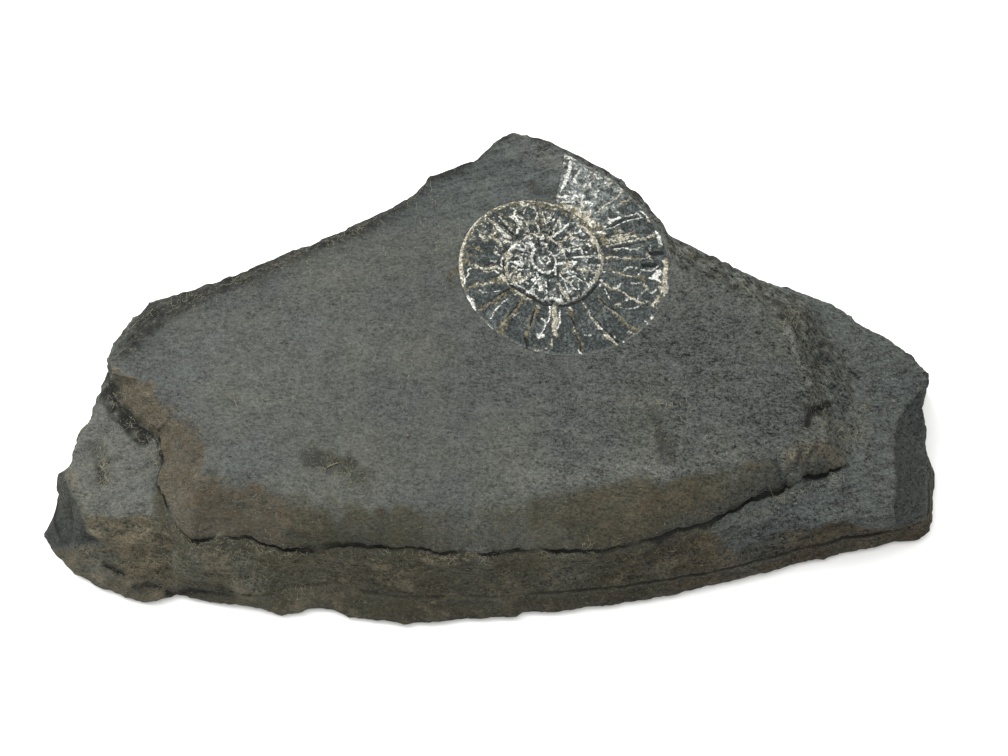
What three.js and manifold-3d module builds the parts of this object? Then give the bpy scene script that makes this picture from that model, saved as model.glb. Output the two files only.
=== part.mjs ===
// A crushed, ribbed ammonite on a broken slab of laminated mudstone, lying as it would on a table.
// Millimetres, +Z up, origin under the middle of the slab's box. The view side is -Y, and the
// fossil lies near the back edge. The slab is one stone: a lower layer and an upper layer with an
// open parting between them along the front. The fossil sits in a shallow pocket of the upper layer.
import * as THREE from 'three';
import Module from 'manifold-3d';
import { mergeVertices } from 'three/addons/utils/BufferGeometryUtils.js';
import { SimplexNoise } from 'three/addons/math/SimplexNoise.js';

// Middle of the slab's box in the coordinates of the outlines below, which moves to the origin
const BOX_MIDDLE = [-0.48, -0.41];

// The slab's beds, as heights above the table
const TOP = 28; // bedding plane that carries the fossil
const PARTING_GAP = 1.3; // opening of the split under the upper layer
const BOTTOM_LAMINA = 6.3; // top of the lowest, darkest lamina
const LAMINA_NOTCH = 0.7; // depth of the thin notch over that lamina
const BASE_EDGE = 1.2; // height of the rounded bottom edge
const SOLE_INSET = 1.6; // the flat sole starts this far in from the bottom edge
const BEVEL_BULGE = 0.9; // the worn bevel bows out this much between its two edges
const LUMP_RELIEF = 0.7; // height of the lumps on broken faces
const LUMP_WIDTH = 14; // width of a large lump
const KNOB_WIDTH = 5; // width of a small one
const BED_THICKNESS = 2.2; // thickness of one bed on the broken back and ends
const BED_STEP = 0.8; // how far one bed stands out past the next there
const BED_REACH = 24; // a step runs on for about this long
const EDGE_CHIPS = 0.35; // how far the sharp edges wander in and out
const CHIP_WIDTH = 4; // width of one chip of an edge
const BED_WANDER = 1.4; // how far a bed's height drifts round the back
const WANDER_LENGTH = 20; // over about this length

// Rays that cut the slab into sections: they leave a straight spine inside the stone
const SPINE_HALF = 58;
const SPINE_Y = -12;
const SPINE_SECTIONS = 54;
const END_SECTIONS = 34;
const TOP_ROWS = 3; // rows of faces between the top edge and the spine

// The ammonite: a spiral that widens by e^GROWTH each radian, crushed slightly oval
const SHELL_CENTRE = [11.8, 19.7];
const SHELL_RADIUS = 29.3; // outer margin, measured at RADIUS_ANGLE
const RADIUS_ANGLE = -6; // degrees from +X
const GROWTH = 0.128;
const OVAL = 1.096; // long axis over short axis
const OVAL_TURN = 38; // degrees from +X to the short axis
const APERTURE = 78; // degrees from +X, where the last whorl breaks off
const TURNS = 3.55; // whorls from the first chamber to the aperture
const STEPS_PER_TURN = 120;
const RIB_LEAN_STEPS = 1; // a rib's inner end lies this many steps further on than its outer end
const EDGE_RIM = 1.5; // stone left between the last whorl and the slab's edge
const SHELL_SINK = 2.4; // how deep the fossil's underside lies below the bedding plane
const SEAT_GAP = 0.3; // clearance between the fossil and its pocket
const RIB_RISE = 0.5; // height of a rib's crest above the whorl
const ACROSS = [0, 0.14, 0.5, 0.86, 1]; // places across a whorl, from its inner seam to its outer
const INNER_WHORL_RISE = [0.05, 0.6, 0.8, 0.75, 0.05]; // above the bedding plane at those places
const LAST_WHORL_RISE = [0.05, 0.25, 0.35, 0.3, 0.15]; // the same on the last whorl, crushed flatter
const RIB_SHAPE = [0, 0.7, 1, 0.9, 0.2]; // share of a rib's height at those places
const INNER_RIBS = 20; // ribs on each inner whorl
const LAST_WHORL_RIBS = [
  78, 63, 51, 42, 27, 12, 0, -12, -27, -42, -54, -72, -87, -102, -120, -138, -159, -177,
  -195, -213, -228, -243, -261,
]; // degrees from +X

// Bottom edge of the slab, counter-clockwise from the front right corner
const BASE = [
  [103.8, -40.3], [105.2, -33], [106.4, -26.5], [106.6, -24], [104.9, -20.5], [105.6, -16],
  [105, -12], [105.2, -8], [106.6, -2], [104.5, 2.5], [94, 9.5], [79, 18], [62, 23.5],
  [47, 31.5], [41, 38], [36, 44], [31, 49], [18, 58], [9, 62], [4, 62.6], [-1, 60], [-6, 54],
  [-13, 50], [-19, 47.5], [-24, 44], [-33, 38], [-44, 32], [-63, 22.5], [-80, 16], [-88, 12.5],
  [-93, 5.5], [-94.2, -2], [-95.4, -7], [-96.6, -13], [-100.6, -21.5], [-104.2, -26],
  [-105.6, -32], [-106.4, -37], [-108.3, -41], [-104.9, -46.3], [-98.5, -51.2], [-92.5, -54.9],
  [-90, -55.4], [-86.5, -57], [-83, -58.1], [-79.8, -57.7], [-75, -55.3], [-71, -57],
  [-67, -58.6], [-58, -58.8], [-54.5, -59.4], [-50, -61.3], [-47, -60.8], [-43.5, -59.2],
  [-38, -59.8], [-34, -61.9], [-28, -62.5], [-20, -63.4], [-9, -62.5], [1.5, -61.6],
  [7, -60.4], [14, -60.2], [29, -58.4], [42, -55.9], [54.5, -52.8], [68, -49.2], [85.5, -45],
  [95, -42.6], [101, -42.2],
];

// Top edge of the lowest lamina
const LAMINA = [
  [102.2, -39], [103.6, -33], [104.6, -24], [103.4, -20], [104, -15], [103.5, -8], [104.5, -3],
  [103, 1], [93, 8.5], [78, 17], [61, 22.5], [46, 30.5], [40, 37], [30, 48], [17.5, 57],
  [8.5, 61], [4, 61.5], [-0.5, 58.5], [-5, 52.5], [-12.5, 48.5], [-23, 43], [-32.5, 37],
  [-43.5, 31], [-62.5, 21.5], [-79.5, 15], [-87, 11.5], [-92, 5.5], [-93.5, -2], [-95.3, -8],
  [-97, -14], [-101, -23], [-104, -31], [-105, -38], [-102.3, -43.5], [-96.5, -48.5],
  [-89.5, -52.5], [-82.5, -54.3], [-76, -53.2], [-68.3, -56], [-55.3, -57.6], [-52, -57.3],
  [-48, -55.3], [-36.6, -54.4], [-29.4, -56.7], [-23.4, -57.8], [-1.5, -57.8], [25.4, -56.1],
  [46.7, -52.6], [64.8, -48.4], [81.3, -43.6], [95, -41.3],
];

// Outer edge of the lower layer's top, with its height: a ledge at the left, a wide lower bedding
// plane at the right, a narrow shelf below the split along the front
const SHELF = [
  [92.4, -42.5, 16.6], [92.4, -34, 17.4], [92.6, -26, 18], [95, -18.5, 18], [98.5, -13, 18],
  [102.2, -9.3, 18], [103.6, -6, 18], [100.3, -1.8, 18], [95.5, 3.4, 18], [84, 11.6, 18.3],
  [76, 14.8, 19], [62, 21, 19], [50, 27.4, 19], [41.3, 33.2, 19], [36, 41, 19], [30, 47, 19],
  [23, 53, 19], [14.5, 57.5, 19], [5, 60.5, 19], [0, 57, 19], [-5, 51, 18], [-13, 47, 18],
  [-21, 43.2, 17], [-34, 36, 17], [-54, 25.7, 17], [-74, 16.5, 17], [-84, 13, 17],
  [-90, 7.5, 17.5], [-92.6, 0, 18], [-93.4, -7, 18.6], [-94.6, -14, 18.8], [-97, -21, 18.8],
  [-99.3, -30, 18.5], [-96.4, -36, 18.3], [-94.2, -42.5, 17.8], [-85.5, -43, 18],
  [-80, -41.6, 18.4], [-77, -44, 18.8], [-72.5, -49.5, 18.8], [-69.3, -51, 19],
  [-57, -50.3, 19], [-48, -53.3, 19], [-41, -53.5, 19], [-30, -52.4, 19], [-17, -53, 19],
  [-3, -54.8, 19], [4, -53.5, 19], [20, -53.7, 19], [33, -50.9, 18], [46.8, -46.6, 17],
  [56.1, -44.4, 16.8], [65.3, -42.9, 16.8], [80, -42.9, 16.8],
];

// Lower lip of the upper layer, with its height and how deep the split runs in beneath it
const LIP = [
  [72, -34, 21, 2.5], [76, -33.6, 21, 2.5], [80.6, -31.8, 20.6, 0.8], [84, -27, 20, 0],
  [85.5, -18, 19.7, 0], [85, -10, 19.7, 0], [82, -3, 19.7, 0], [78, 4, 20.5, 0],
  [74.6, 11.4, 22.5, 0], [67.7, 15.2, 23.5, 0], [57.3, 20.9, 23.5, 0], [50.1, 25.7, 23.5, 0],
  [42.6, 28.8, 25, 0], [39.4, 33.8, 25.5, 0], [31, 44.9, 25.5, 0], [19.4, 52.8, 25.5, 0],
  [12, 56.1, 25.5, 0], [4, 58.3, 25.5, 0], [0, 55.6, 25.5, 0], [-5, 51, 25, 0],
  [-9, 48.4, 25, 0], [-16.5, 45.9, 24.8, 0], [-20.8, 41.6, 23, 0], [-31.6, 35.8, 22, 0],
  [-43, 28.9, 22, 0], [-52.1, 25.2, 22, 0], [-60.6, 20.7, 22, 0], [-72.6, 15.6, 22, 0],
  [-83.9, 11.6, 22, 0], [-88, 6, 22, 0.2], [-91, 0.5, 22, 0.4], [-91.7, -6, 21.8, 0.8],
  [-89.8, -13.5, 21.2, 1.8], [-86.4, -18.4, 20.9, 3.4], [-79, -24.4, 20.9, 3.4],
  [-77, -31, 20.6, 2], [-78, -36, 20.5, 1.6], [-75.5, -40, 20.4, 2.2], [-71.8, -47.2, 20.2, 3],
  [-68.6, -49.6, 20.4, 2.4], [-56.5, -49, 20.6, 2.4], [-47.6, -52, 20.6, 2.4],
  [-41, -52.3, 20.6, 2.4], [-33.1, -50.9, 20.6, 3], [-17, -51.8, 20.6, 3],
  [-3.5, -53.4, 20.6, 3], [6, -52.2, 20.6, 3], [19.8, -52.5, 20.6, 3], [29.2, -51.4, 20.6, 3],
  [37.5, -49, 20.6, 3.4], [47.8, -45.3, 20.7, 3.6], [58.3, -40, 20.9, 3.8],
  [66.5, -36.8, 21, 3.4], [70, -35.6, 21, 3],
];

// Edge of the flat top, where the bevels begin
const TOP_EDGE = [
  [70.2, -29.5], [75.3, -28.4], [76, -24], [72.8, -20.5], [73.4, -13.7], [71.5, -8.8],
  [70.2, -4], [70, 1.5], [66.2, 7.4], [56.5, 12.1], [45, 17.7], [42.8, 23], [41.5, 28],
  [38.4, 33.8], [30, 44], [18.7, 51.6], [11.5, 54.9], [4, 57.1], [0.6, 54.6], [-5, 49.2],
  [-11, 45.4], [-16.4, 43.4], [-20.6, 37.4], [-31.6, 28.3], [-41.9, 24.3], [-57.2, 14.6],
  [-66.7, 10.6], [-78, 3.6], [-84, -4], [-90, -7.8], [-89.6, -11], [-82.6, -12.7],
  [-76.2, -17.5], [-70, -22.8], [-66, -29], [-66.5, -36.8], [-54, -38.7], [-44, -43.9],
  [-39.3, -45.2], [-26.3, -45.4], [-12.7, -44.8], [3.3, -43.3], [23.3, -40], [36, -38.8],
  [45.3, -37.4], [64.6, -33],
];

const wasm = await Module();
wasm.setup();

// A fixed stream for the noise, so that the stone is the same on every run
function fixedStream() {
  let state = 1937;
  return {
    random() {
      state = (state * 16807) % 2147483647;
      return state / 2147483647;
    },
  };
}
const noise = new SimplexNoise(fixedStream());

const radians = THREE.MathUtils.degToRad;

// The point where a ray from inside meets an outline, farthest out, with the outline's extra values
function reach(outline, from, direction) {
  let far = -Infinity;
  let found = null;
  outline.forEach((start, i) => {
    const end = outline[(i + 1) % outline.length];
    const edge = [end[0] - start[0], end[1] - start[1]];
    const cross = direction[0] * edge[1] - direction[1] * edge[0];
    if (Math.abs(cross) < 1e-9) return;
    const toStart = [start[0] - from[0], start[1] - from[1]];
    const along = (toStart[0] * edge[1] - toStart[1] * edge[0]) / cross;
    const part = (toStart[0] * direction[1] - toStart[1] * direction[0]) / cross;
    if (along <= far || part < -1e-9 || part > 1 + 1e-9) return;
    far = along;
    found = start.map((value, k) => value + part * (end[k] - value));
  });
  return { distance: far, x: found[0], y: found[1], z: found[2], split: found[3] };
}

// The rays, counter-clockwise from the front right: right end, back, left end, front
function makeRays() {
  const rays = [];
  const add = (x, angle) => rays.push({
    from: [x, SPINE_Y],
    direction: [Math.cos(angle), Math.sin(angle)],
  });
  const spineStep = (2 * SPINE_HALF) / SPINE_SECTIONS;
  const turnStep = Math.PI / END_SECTIONS;
  for (let i = 0; i < END_SECTIONS; i += 1) add(SPINE_HALF, -Math.PI / 2 + i * turnStep);
  for (let i = 0; i < SPINE_SECTIONS; i += 1) add(SPINE_HALF - i * spineStep, Math.PI / 2);
  for (let i = 0; i < END_SECTIONS; i += 1) add(-SPINE_HALF, Math.PI / 2 + i * turnStep);
  for (let i = 0; i < SPINE_SECTIONS; i += 1) add(-SPINE_HALF + i * spineStep, -Math.PI / 2);
  return rays;
}

// How far a broken face stands out at a point: worn lumps in front, stepped beds behind
function lump(x, y, z, behind) {
  const large = noise.noise3d(x / LUMP_WIDTH, y / LUMP_WIDTH, (2 * z) / LUMP_WIDTH);
  const small = noise.noise3d(x / KNOB_WIDTH, y / KNOB_WIDTH, (2 * z) / KNOB_WIDTH);
  const bed = Math.round(1.7 * noise.noise3d(x / BED_REACH, y / BED_REACH, z / BED_THICKNESS));
  return LUMP_RELIEF * (large + 0.5 * small) + BED_STEP * bed * behind;
}

// One section of the slab, from the sole up the broken side and over the top to the spine
function section(ray) {
  const [dx, dy] = ray.direction;
  const behind = THREE.MathUtils.smoothstep(dy, -0.35, 0.25);
  const cut = (outline) => reach(outline, ray.from, ray.direction);
  const [base, lamina, shelf, lip, edge] = [BASE, LAMINA, SHELF, LIP, TOP_EDGE].map(cut);
  const at = (distance, z) => [ray.from[0] + dx * distance, ray.from[1] + dy * distance, z];
  const rough = (distance, z) => {
    const [x, y] = at(distance, z);
    return at(distance + lump(x, y, z, behind), z);
  };
  const chipped = (distance, z) => {
    const [x, y] = at(distance, z);
    return at(distance + EDGE_CHIPS * noise.noise3d(x / CHIP_WIDTH, y / CHIP_WIDTH, z), z);
  };
  const mix = THREE.MathUtils.lerp;
  const drift = noise.noise(base.x / WANDER_LENGTH, base.y / WANDER_LENGTH);
  const wander = BED_WANDER * behind * drift;
  const laminaZ = BOTTOM_LAMINA + wander;
  const notch = LAMINA_NOTCH * (1 - 0.6 * behind);
  const splitFloor = lip.z - PARTING_GAP;
  const shelfZ = Math.min(shelf.z + wander, splitFloor - 0.2);
  const rows = [
    at(base.distance - SOLE_INSET, 0),
    chipped(base.distance, BASE_EDGE),
    chipped(lamina.distance, laminaZ),
    at(lamina.distance - notch, laminaZ + 0.4),
    rough(mix(lamina.distance, shelf.distance, 0.12), laminaZ + 1),
    rough(mix(lamina.distance, shelf.distance, 0.5), mix(laminaZ, shelfZ, 0.5)),
    rough(mix(lamina.distance, shelf.distance, 0.88), shelfZ - 1.4),
    chipped(shelf.distance, shelfZ),
    at(mix(shelf.distance, lip.distance, 0.5), mix(shelfZ, splitFloor, 0.5)),
    at(lip.distance, splitFloor),
    at(lip.distance - lip.split, mix(splitFloor, lip.z, 0.5)),
    chipped(lip.distance, lip.z),
    at(mix(lip.distance, edge.distance, 0.45), mix(lip.z, TOP, 0.45) + BEVEL_BULGE),
    chipped(edge.distance, TOP),
  ];
  for (let i = 1; i < TOP_ROWS; i += 1) rows.push(at(edge.distance * (1 - i / TOP_ROWS), TOP));
  return rows;
}

// A closed mesh from its vertices and triangles
function solidGeometry(vertices, triangles) {
  const geometry = new THREE.BufferGeometry();
  geometry.setAttribute('position', new THREE.Float32BufferAttribute(vertices.flat(), 3));
  geometry.setIndex(triangles.flat());
  return geometry;
}

// Rings of vertices stitched into a skin, one ring for each row of the sections
function stitch(triangles, rings, count) {
  for (let row = 0; row + 1 < rings; row += 1) {
    for (let i = 0; i < count; i += 1) {
      const next = (i + 1) % count;
      const [a, b] = [row * count + i, row * count + next];
      const [c, d] = [a + count, b + count];
      triangles.push([a, b, d], [a, d, c]);
    }
  }
}

// The slab's skin: sections stitched side by side, closed along the spine above and below
function slabSkin() {
  const rays = makeRays();
  const sections = rays.map(section);
  const rings = sections[0].length;
  const count = rays.length;
  const vertices = [];
  for (let row = 0; row < rings; row += 1) sections.forEach((rows) => vertices.push(rows[row]));
  const triangles = [];
  stitch(triangles, rings, count);
  const spineX = [...new Set(rays.map((ray) => ray.from[0].toFixed(6)))].map(Number);
  const spineStart = vertices.length;
  for (const z of [TOP, 0]) spineX.forEach((x) => vertices.push([x, SPINE_Y, z]));
  const spineOf = (i, below) => {
    const index = spineX.indexOf(Number(rays[i].from[0].toFixed(6)));
    return spineStart + index + (below ? spineX.length : 0);
  };
  const lastRing = (rings - 1) * count;
  for (let i = 0; i < count; i += 1) {
    const next = (i + 1) % count;
    const [above, aboveNext] = [spineOf(i, false), spineOf(next, false)];
    const [below, belowNext] = [spineOf(i, true), spineOf(next, true)];
    triangles.push([lastRing + i, lastRing + next, aboveNext]);
    triangles.push([next, i, belowNext]);
    if (above !== aboveNext) {
      triangles.push([lastRing + i, aboveNext, above]);
      triangles.push([i, below, belowNext]);
    }
  }
  return solidGeometry(vertices, triangles);
}

// Radius of the spiral at an angle in radians, which counts the turns
const apertureAngle = radians(APERTURE);
function spiralRadius(angle) {
  return SHELL_RADIUS * Math.exp(GROWTH * (angle - radians(RADIUS_ANGLE)));
}

// A point of the spiral's own plane, crushed to the oval and set on the slab
function crushed(angle, radius) {
  const turn = radians(OVAL_TURN);
  const short = radius * Math.cos(angle - turn);
  const long = radius * Math.sin(angle - turn) * OVAL;
  return [
    SHELL_CENTRE[0] + short * Math.cos(turn) - long * Math.sin(turn),
    SHELL_CENTRE[1] + short * Math.sin(turn) + long * Math.cos(turn),
  ];
}

// Radius of a whorl's outer seam, cut short where the slab's edge broke the last whorl
function seamRadius(angle) {
  const free = spiralRadius(angle);
  const [x, y] = crushed(angle, 1);
  const direction = [x - SHELL_CENTRE[0], y - SHELL_CENTRE[1]];
  const toEdge = reach(TOP_EDGE, SHELL_CENTRE, direction).distance;
  return Math.min(free, toEdge - EDGE_RIM);
}

// The fossil's steps, counted from the first chamber outwards
const stepAngle = (2 * Math.PI) / STEPS_PER_TURN;
const lastStep = Math.round(TURNS * STEPS_PER_TURN);
const seamShift = STEPS_PER_TURN - RIB_LEAN_STEPS; // from a whorl's outer seam back to its inner
const angleAt = (step) => apertureAngle - (lastStep - step) * stepAngle;
const isLastWhorl = (step) => lastStep - step < seamShift;

// 1 on the crest of a rib and 0 beside it
function ribCrest(step) {
  if (!isLastWhorl(step)) return step % (STEPS_PER_TURN / INNER_RIBS) === 0 ? 1 : 0;
  const degrees = THREE.MathUtils.radToDeg(angleAt(step));
  const halfStep = 180 / STEPS_PER_TURN;
  return LAST_WHORL_RIBS.some((rib) => Math.abs(rib - degrees) < halfStep) ? 1 : 0;
}

// Height of the fossil's face above the bedding plane at a place across a whorl
function faceRise(step, place) {
  const whorl = isLastWhorl(step) ? LAST_WHORL_RISE : INNER_WHORL_RISE;
  return whorl[place] + RIB_RISE * RIB_SHAPE[place] * ribCrest(step);
}

// The fossil: strips of faces along the spiral, closed by a hub, a wall and a flat underside
function ammoniteSkin() {
  const vertices = [];
  const triangles = [];
  const put = (angle, radius, rise) => {
    const [x, y] = crushed(angle, radius);
    vertices.push([x, y, TOP + rise]);
    return vertices.length - 1;
  };
  const seamPlace = ACROSS.length - 1;
  const seams = [];
  for (let step = 0; step <= lastStep; step += 1) {
    seams.push(put(angleAt(step), seamRadius(angleAt(step)), faceRise(step, seamPlace)));
  }
  // One row of vertices from a whorl's inner seam to its outer seam
  const rowAt = (step) => {
    const [innerAngle, outerAngle] = [angleAt(step - seamShift), angleAt(step)];
    const [inner, outer] = [seamRadius(innerAngle), seamRadius(outerAngle)];
    const between = ACROSS.slice(1, -1).map((across, i) => {
      const angle = THREE.MathUtils.lerp(innerAngle + 2 * Math.PI, outerAngle, across);
      return put(angle, THREE.MathUtils.lerp(inner, outer, across), faceRise(step, i + 1));
    });
    return [seams[step - seamShift], ...between, seams[step]];
  };
  const firstRow = rowAt(seamShift);
  let row = firstRow;
  for (let step = seamShift + 1; step <= lastStep; step += 1) {
    const nextRow = rowAt(step);
    for (let j = 0; j < seamPlace; j += 1) {
      triangles.push([row[j], row[j + 1], nextRow[j + 1]], [row[j], nextRow[j + 1], nextRow[j]]);
    }
    row = nextRow;
  }
  // The first chamber: a low boss inside the first turn
  const hubLoop = [...seams.slice(0, seamShift), ...[...firstRow].reverse().slice(0, seamPlace)];
  const hubRadius = spiralRadius(angleAt(0)) / 4;
  const hub = put(angleAt(0) - Math.PI / 2, hubRadius, INNER_WHORL_RISE[2]);
  hubLoop.forEach((vertex, i) => triangles.push([hub, vertex, hubLoop[(i + 1) % hubLoop.length]]));
  // The wall round the margin and the flat underside
  const margin = [...seams.slice(lastStep - seamShift + 1), ...[...row].reverse().slice(1)];
  const under = margin.map((vertex) => {
    const [x, y] = vertices[vertex];
    vertices.push([x, y, TOP - SHELL_SINK]);
    return vertices.length - 1;
  });
  margin.forEach((vertex, i) => {
    const next = (i + 1) % margin.length;
    triangles.push([vertex, under[i], under[next]], [vertex, under[next], margin[next]]);
  });
  const flat = under.map((vertex) => new THREE.Vector2(vertices[vertex][0], vertices[vertex][1]));
  THREE.ShapeUtils.triangulateShape(flat, []).forEach(([i, j, k]) => {
    triangles.push([under[i], under[k], under[j]]);
  });
  return { geometry: solidGeometry(vertices, triangles), margin: flat };
}

// The pocket in the slab: the fossil's margin grown by the seat gap, open at the top
function pocketCutter(margin) {
  const grown = margin.map((point, i) => {
    const before = margin[(i + margin.length - 1) % margin.length];
    const after = margin[(i + 1) % margin.length];
    const along = after.clone().sub(before).normalize();
    return point.clone().add(new THREE.Vector2(along.y, -along.x).multiplyScalar(SEAT_GAP * 1.2));
  });
  const cutter = new THREE.ExtrudeGeometry(new THREE.Shape(grown), {
    depth: 4 * SHELL_SINK,
    bevelEnabled: false,
  });
  cutter.translate(0, 0, TOP - SHELL_SINK - SEAT_GAP);
  return cutter;
}

function toManifold(geometry) {
  const bare = geometry.clone();
  bare.deleteAttribute('normal');
  bare.deleteAttribute('uv');
  const merged = mergeVertices(bare, 1e-5);
  return new wasm.Manifold(new wasm.Mesh({
    numProp: 3,
    vertProperties: new Float32Array(merged.attributes.position.array),
    triVerts: new Uint32Array(merged.index.array),
  }));
}

function fromManifold(solid) {
  const mesh = solid.getMesh();
  const geometry = new THREE.BufferGeometry();
  geometry.setAttribute('position', new THREE.BufferAttribute(mesh.vertProperties, 3));
  geometry.setIndex(new THREE.BufferAttribute(mesh.triVerts, 1));
  return geometry;
}

const shell = ammoniteSkin();
const slab = toManifold(slabSkin()).subtract(toManifold(pocketCutter(shell.margin)));

const shale = new THREE.MeshStandardMaterial({ color: '#5f6564', roughness: 0.9, metalness: 0 });
const fossil = new THREE.MeshStandardMaterial({ color: '#8f8c7c', roughness: 0.75, metalness: 0 });

function piece(name, geometry, material) {
  geometry.computeVertexNormals();
  const mesh = new THREE.Mesh(geometry, material);
  mesh.name = name;
  return mesh;
}

const specimen = new THREE.Group();
specimen.add(piece('shale_slab', fromManifold(slab), shale));
specimen.add(piece('ammonite', shell.geometry, fossil));
specimen.position.set(-BOX_MIDDLE[0], -BOX_MIDDLE[1], 0);

export default specimen;
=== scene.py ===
"""An ammonite crushed in a slab of laminated mudstone, lying under soft light on a pale table."""
import math

import bpy
import numpy as np
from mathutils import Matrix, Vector, noise
from mathutils.bvhtree import BVHTree


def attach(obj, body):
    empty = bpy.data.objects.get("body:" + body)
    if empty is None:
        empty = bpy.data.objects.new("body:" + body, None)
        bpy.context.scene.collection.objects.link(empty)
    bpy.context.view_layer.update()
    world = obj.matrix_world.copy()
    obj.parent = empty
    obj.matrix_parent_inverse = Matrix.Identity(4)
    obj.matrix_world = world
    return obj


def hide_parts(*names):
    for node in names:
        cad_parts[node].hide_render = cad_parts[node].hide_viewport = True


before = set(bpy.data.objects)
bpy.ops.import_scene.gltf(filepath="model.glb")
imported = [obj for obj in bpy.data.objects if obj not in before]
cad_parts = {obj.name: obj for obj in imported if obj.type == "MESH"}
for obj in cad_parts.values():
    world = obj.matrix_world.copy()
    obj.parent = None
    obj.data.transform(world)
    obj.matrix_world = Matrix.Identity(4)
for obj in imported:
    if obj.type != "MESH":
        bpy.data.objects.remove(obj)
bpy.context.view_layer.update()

# The view: the slab seen from its front and well above, as someone sees it who stands over it.
# Sizes in this file are millimetres in the specimen's frame, and MM turns them into metres.
MM = 0.001
VIEW_PLACE = (2.5, -197.2, 376.6)
VIEW_PITCH = 62  # degrees below the horizontal
VIEW_LENS = 60.7  # focal length for a picture 36 wide
camera_data = bpy.data.cameras.new("view")
camera_data.lens = VIEW_LENS
camera_data.clip_start = 10 * MM
camera = bpy.data.objects.new("view", camera_data)
camera.location = Vector(VIEW_PLACE) * MM
camera.rotation_euler = (math.radians(90 - VIEW_PITCH), 0, 0)
bpy.context.scene.collection.objects.link(camera)
bpy.context.scene.camera = camera


# The slab: one stone of dark blue-grey mudstone in thin laminae, split along its beds above and
# below and broken round its sides. Its outlines are drawn bed by bed, and straight rays from a
# spine inside it cut it into sections, which are stitched side by side into one closed skin.
BOX_MIDDLE = (-0.48, -0.41)  # middle of the outlines below, which lies over the origin
TOP = 28  # bedding plane that carries the fossil
PARTING_GAP = 0.5  # opening of the split under the upper layer
PARTING_DEPTH = 1.7  # the split runs in this much further than its outline says
BOTTOM_LAMINA = 6.3
LAMINA_NOTCH = 0.45
LAMINA_RIPPLE = 0.35
BASE_EDGE = 1.2
SOLE_INSET = 1.6
LIP_RIPPLE = 0.3
BEVEL_BULGE = 0.9
EDGE_CHIPS = 0.45
CHIP_WIDTH = 5
EDGE_NICKS = 0.2
BASE_NICKS = 0.32
LIP_NICKS = 0.4
NICK_WIDTH = 1.3
BED_WANDER = 1.4
WANDER_LENGTH = 20
CORNER_WEAR = 2  # rounds of wear on the corners between the beds
BREAK_WEAR = 30  # rounds of wear on a break where the split is closed
SPINE_HALF = 58
SPINE_Y = -12
SPINE_RAYS = 155
END_RAYS = 215

BASE = [
    (103.8, -40.3), (105.2, -33), (106.4, -26.5), (106.6, -24), (104.9, -20.5), (105.6, -16),
    (105, -12), (105.2, -8), (106.6, -2), (104.5, 2.5), (94, 9.5), (79, 18), (62, 23.5),
    (47, 31.5), (41, 38), (36, 44), (31, 49), (18, 58), (9, 62), (4, 62.6), (-1, 60), (-6, 54),
    (-13, 50), (-19, 47.5), (-24, 44), (-33, 38), (-44, 32), (-63, 22.5), (-80, 16), (-88, 12.5),
    (-93, 5.5), (-94.2, -2), (-95.4, -7), (-96.6, -13), (-100.6, -21.5), (-104.2, -26),
    (-105.6, -32), (-106.4, -37), (-108.3, -41), (-104.9, -46.3), (-98.5, -51.2), (-92.5, -54.9),
    (-90, -55.4), (-86.5, -57), (-83, -58.1), (-79.8, -57.7), (-75, -55.3), (-71, -57),
    (-67, -58.6), (-58, -58.8), (-54.5, -59.4), (-50, -61.3), (-47, -60.8), (-43.5, -59.2),
    (-38, -59.8), (-34, -61.9), (-28, -62.5), (-20, -63.4), (-9, -62.5), (1.5, -61.7),
    (4.8, -61.5), (6.4, -60.3), (14, -60.2), (29, -58.4), (42, -55.9), (54.5, -52.8),
    (68, -49.2), (85.5, -45), (95, -42.6), (101, -42.2),
]
LAMINA = [
    (102.2, -39), (103.6, -33), (104.6, -24), (103.4, -20), (104, -15), (103.5, -8), (104.5, -3),
    (103, 1), (93, 8.5), (78, 17), (61, 22.5), (46, 30.5), (40, 37), (30, 48), (17.5, 57),
    (8.5, 61), (4, 61.5), (-0.5, 58.5), (-5, 52.5), (-12.5, 48.5), (-23, 43), (-32.5, 37),
    (-43.5, 31), (-62.5, 21.5), (-79.5, 15), (-87, 11.5), (-92, 5.5), (-93.5, -2), (-95.3, -8),
    (-97, -14), (-101, -23), (-104, -31), (-105, -38), (-102.3, -43.5), (-96.5, -48.5),
    (-89.5, -52.5), (-82.5, -54.3), (-76, -53.2), (-68.3, -56), (-55.3, -57.6), (-52, -57.3),
    (-48, -55.3), (-36.6, -54.4), (-29.4, -56.7), (-23.4, -57.8), (-1.5, -57.8), (25.4, -56.1),
    (46.7, -52.6), (64.8, -48.4), (81.3, -43.6), (95, -41.3),
]
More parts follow.
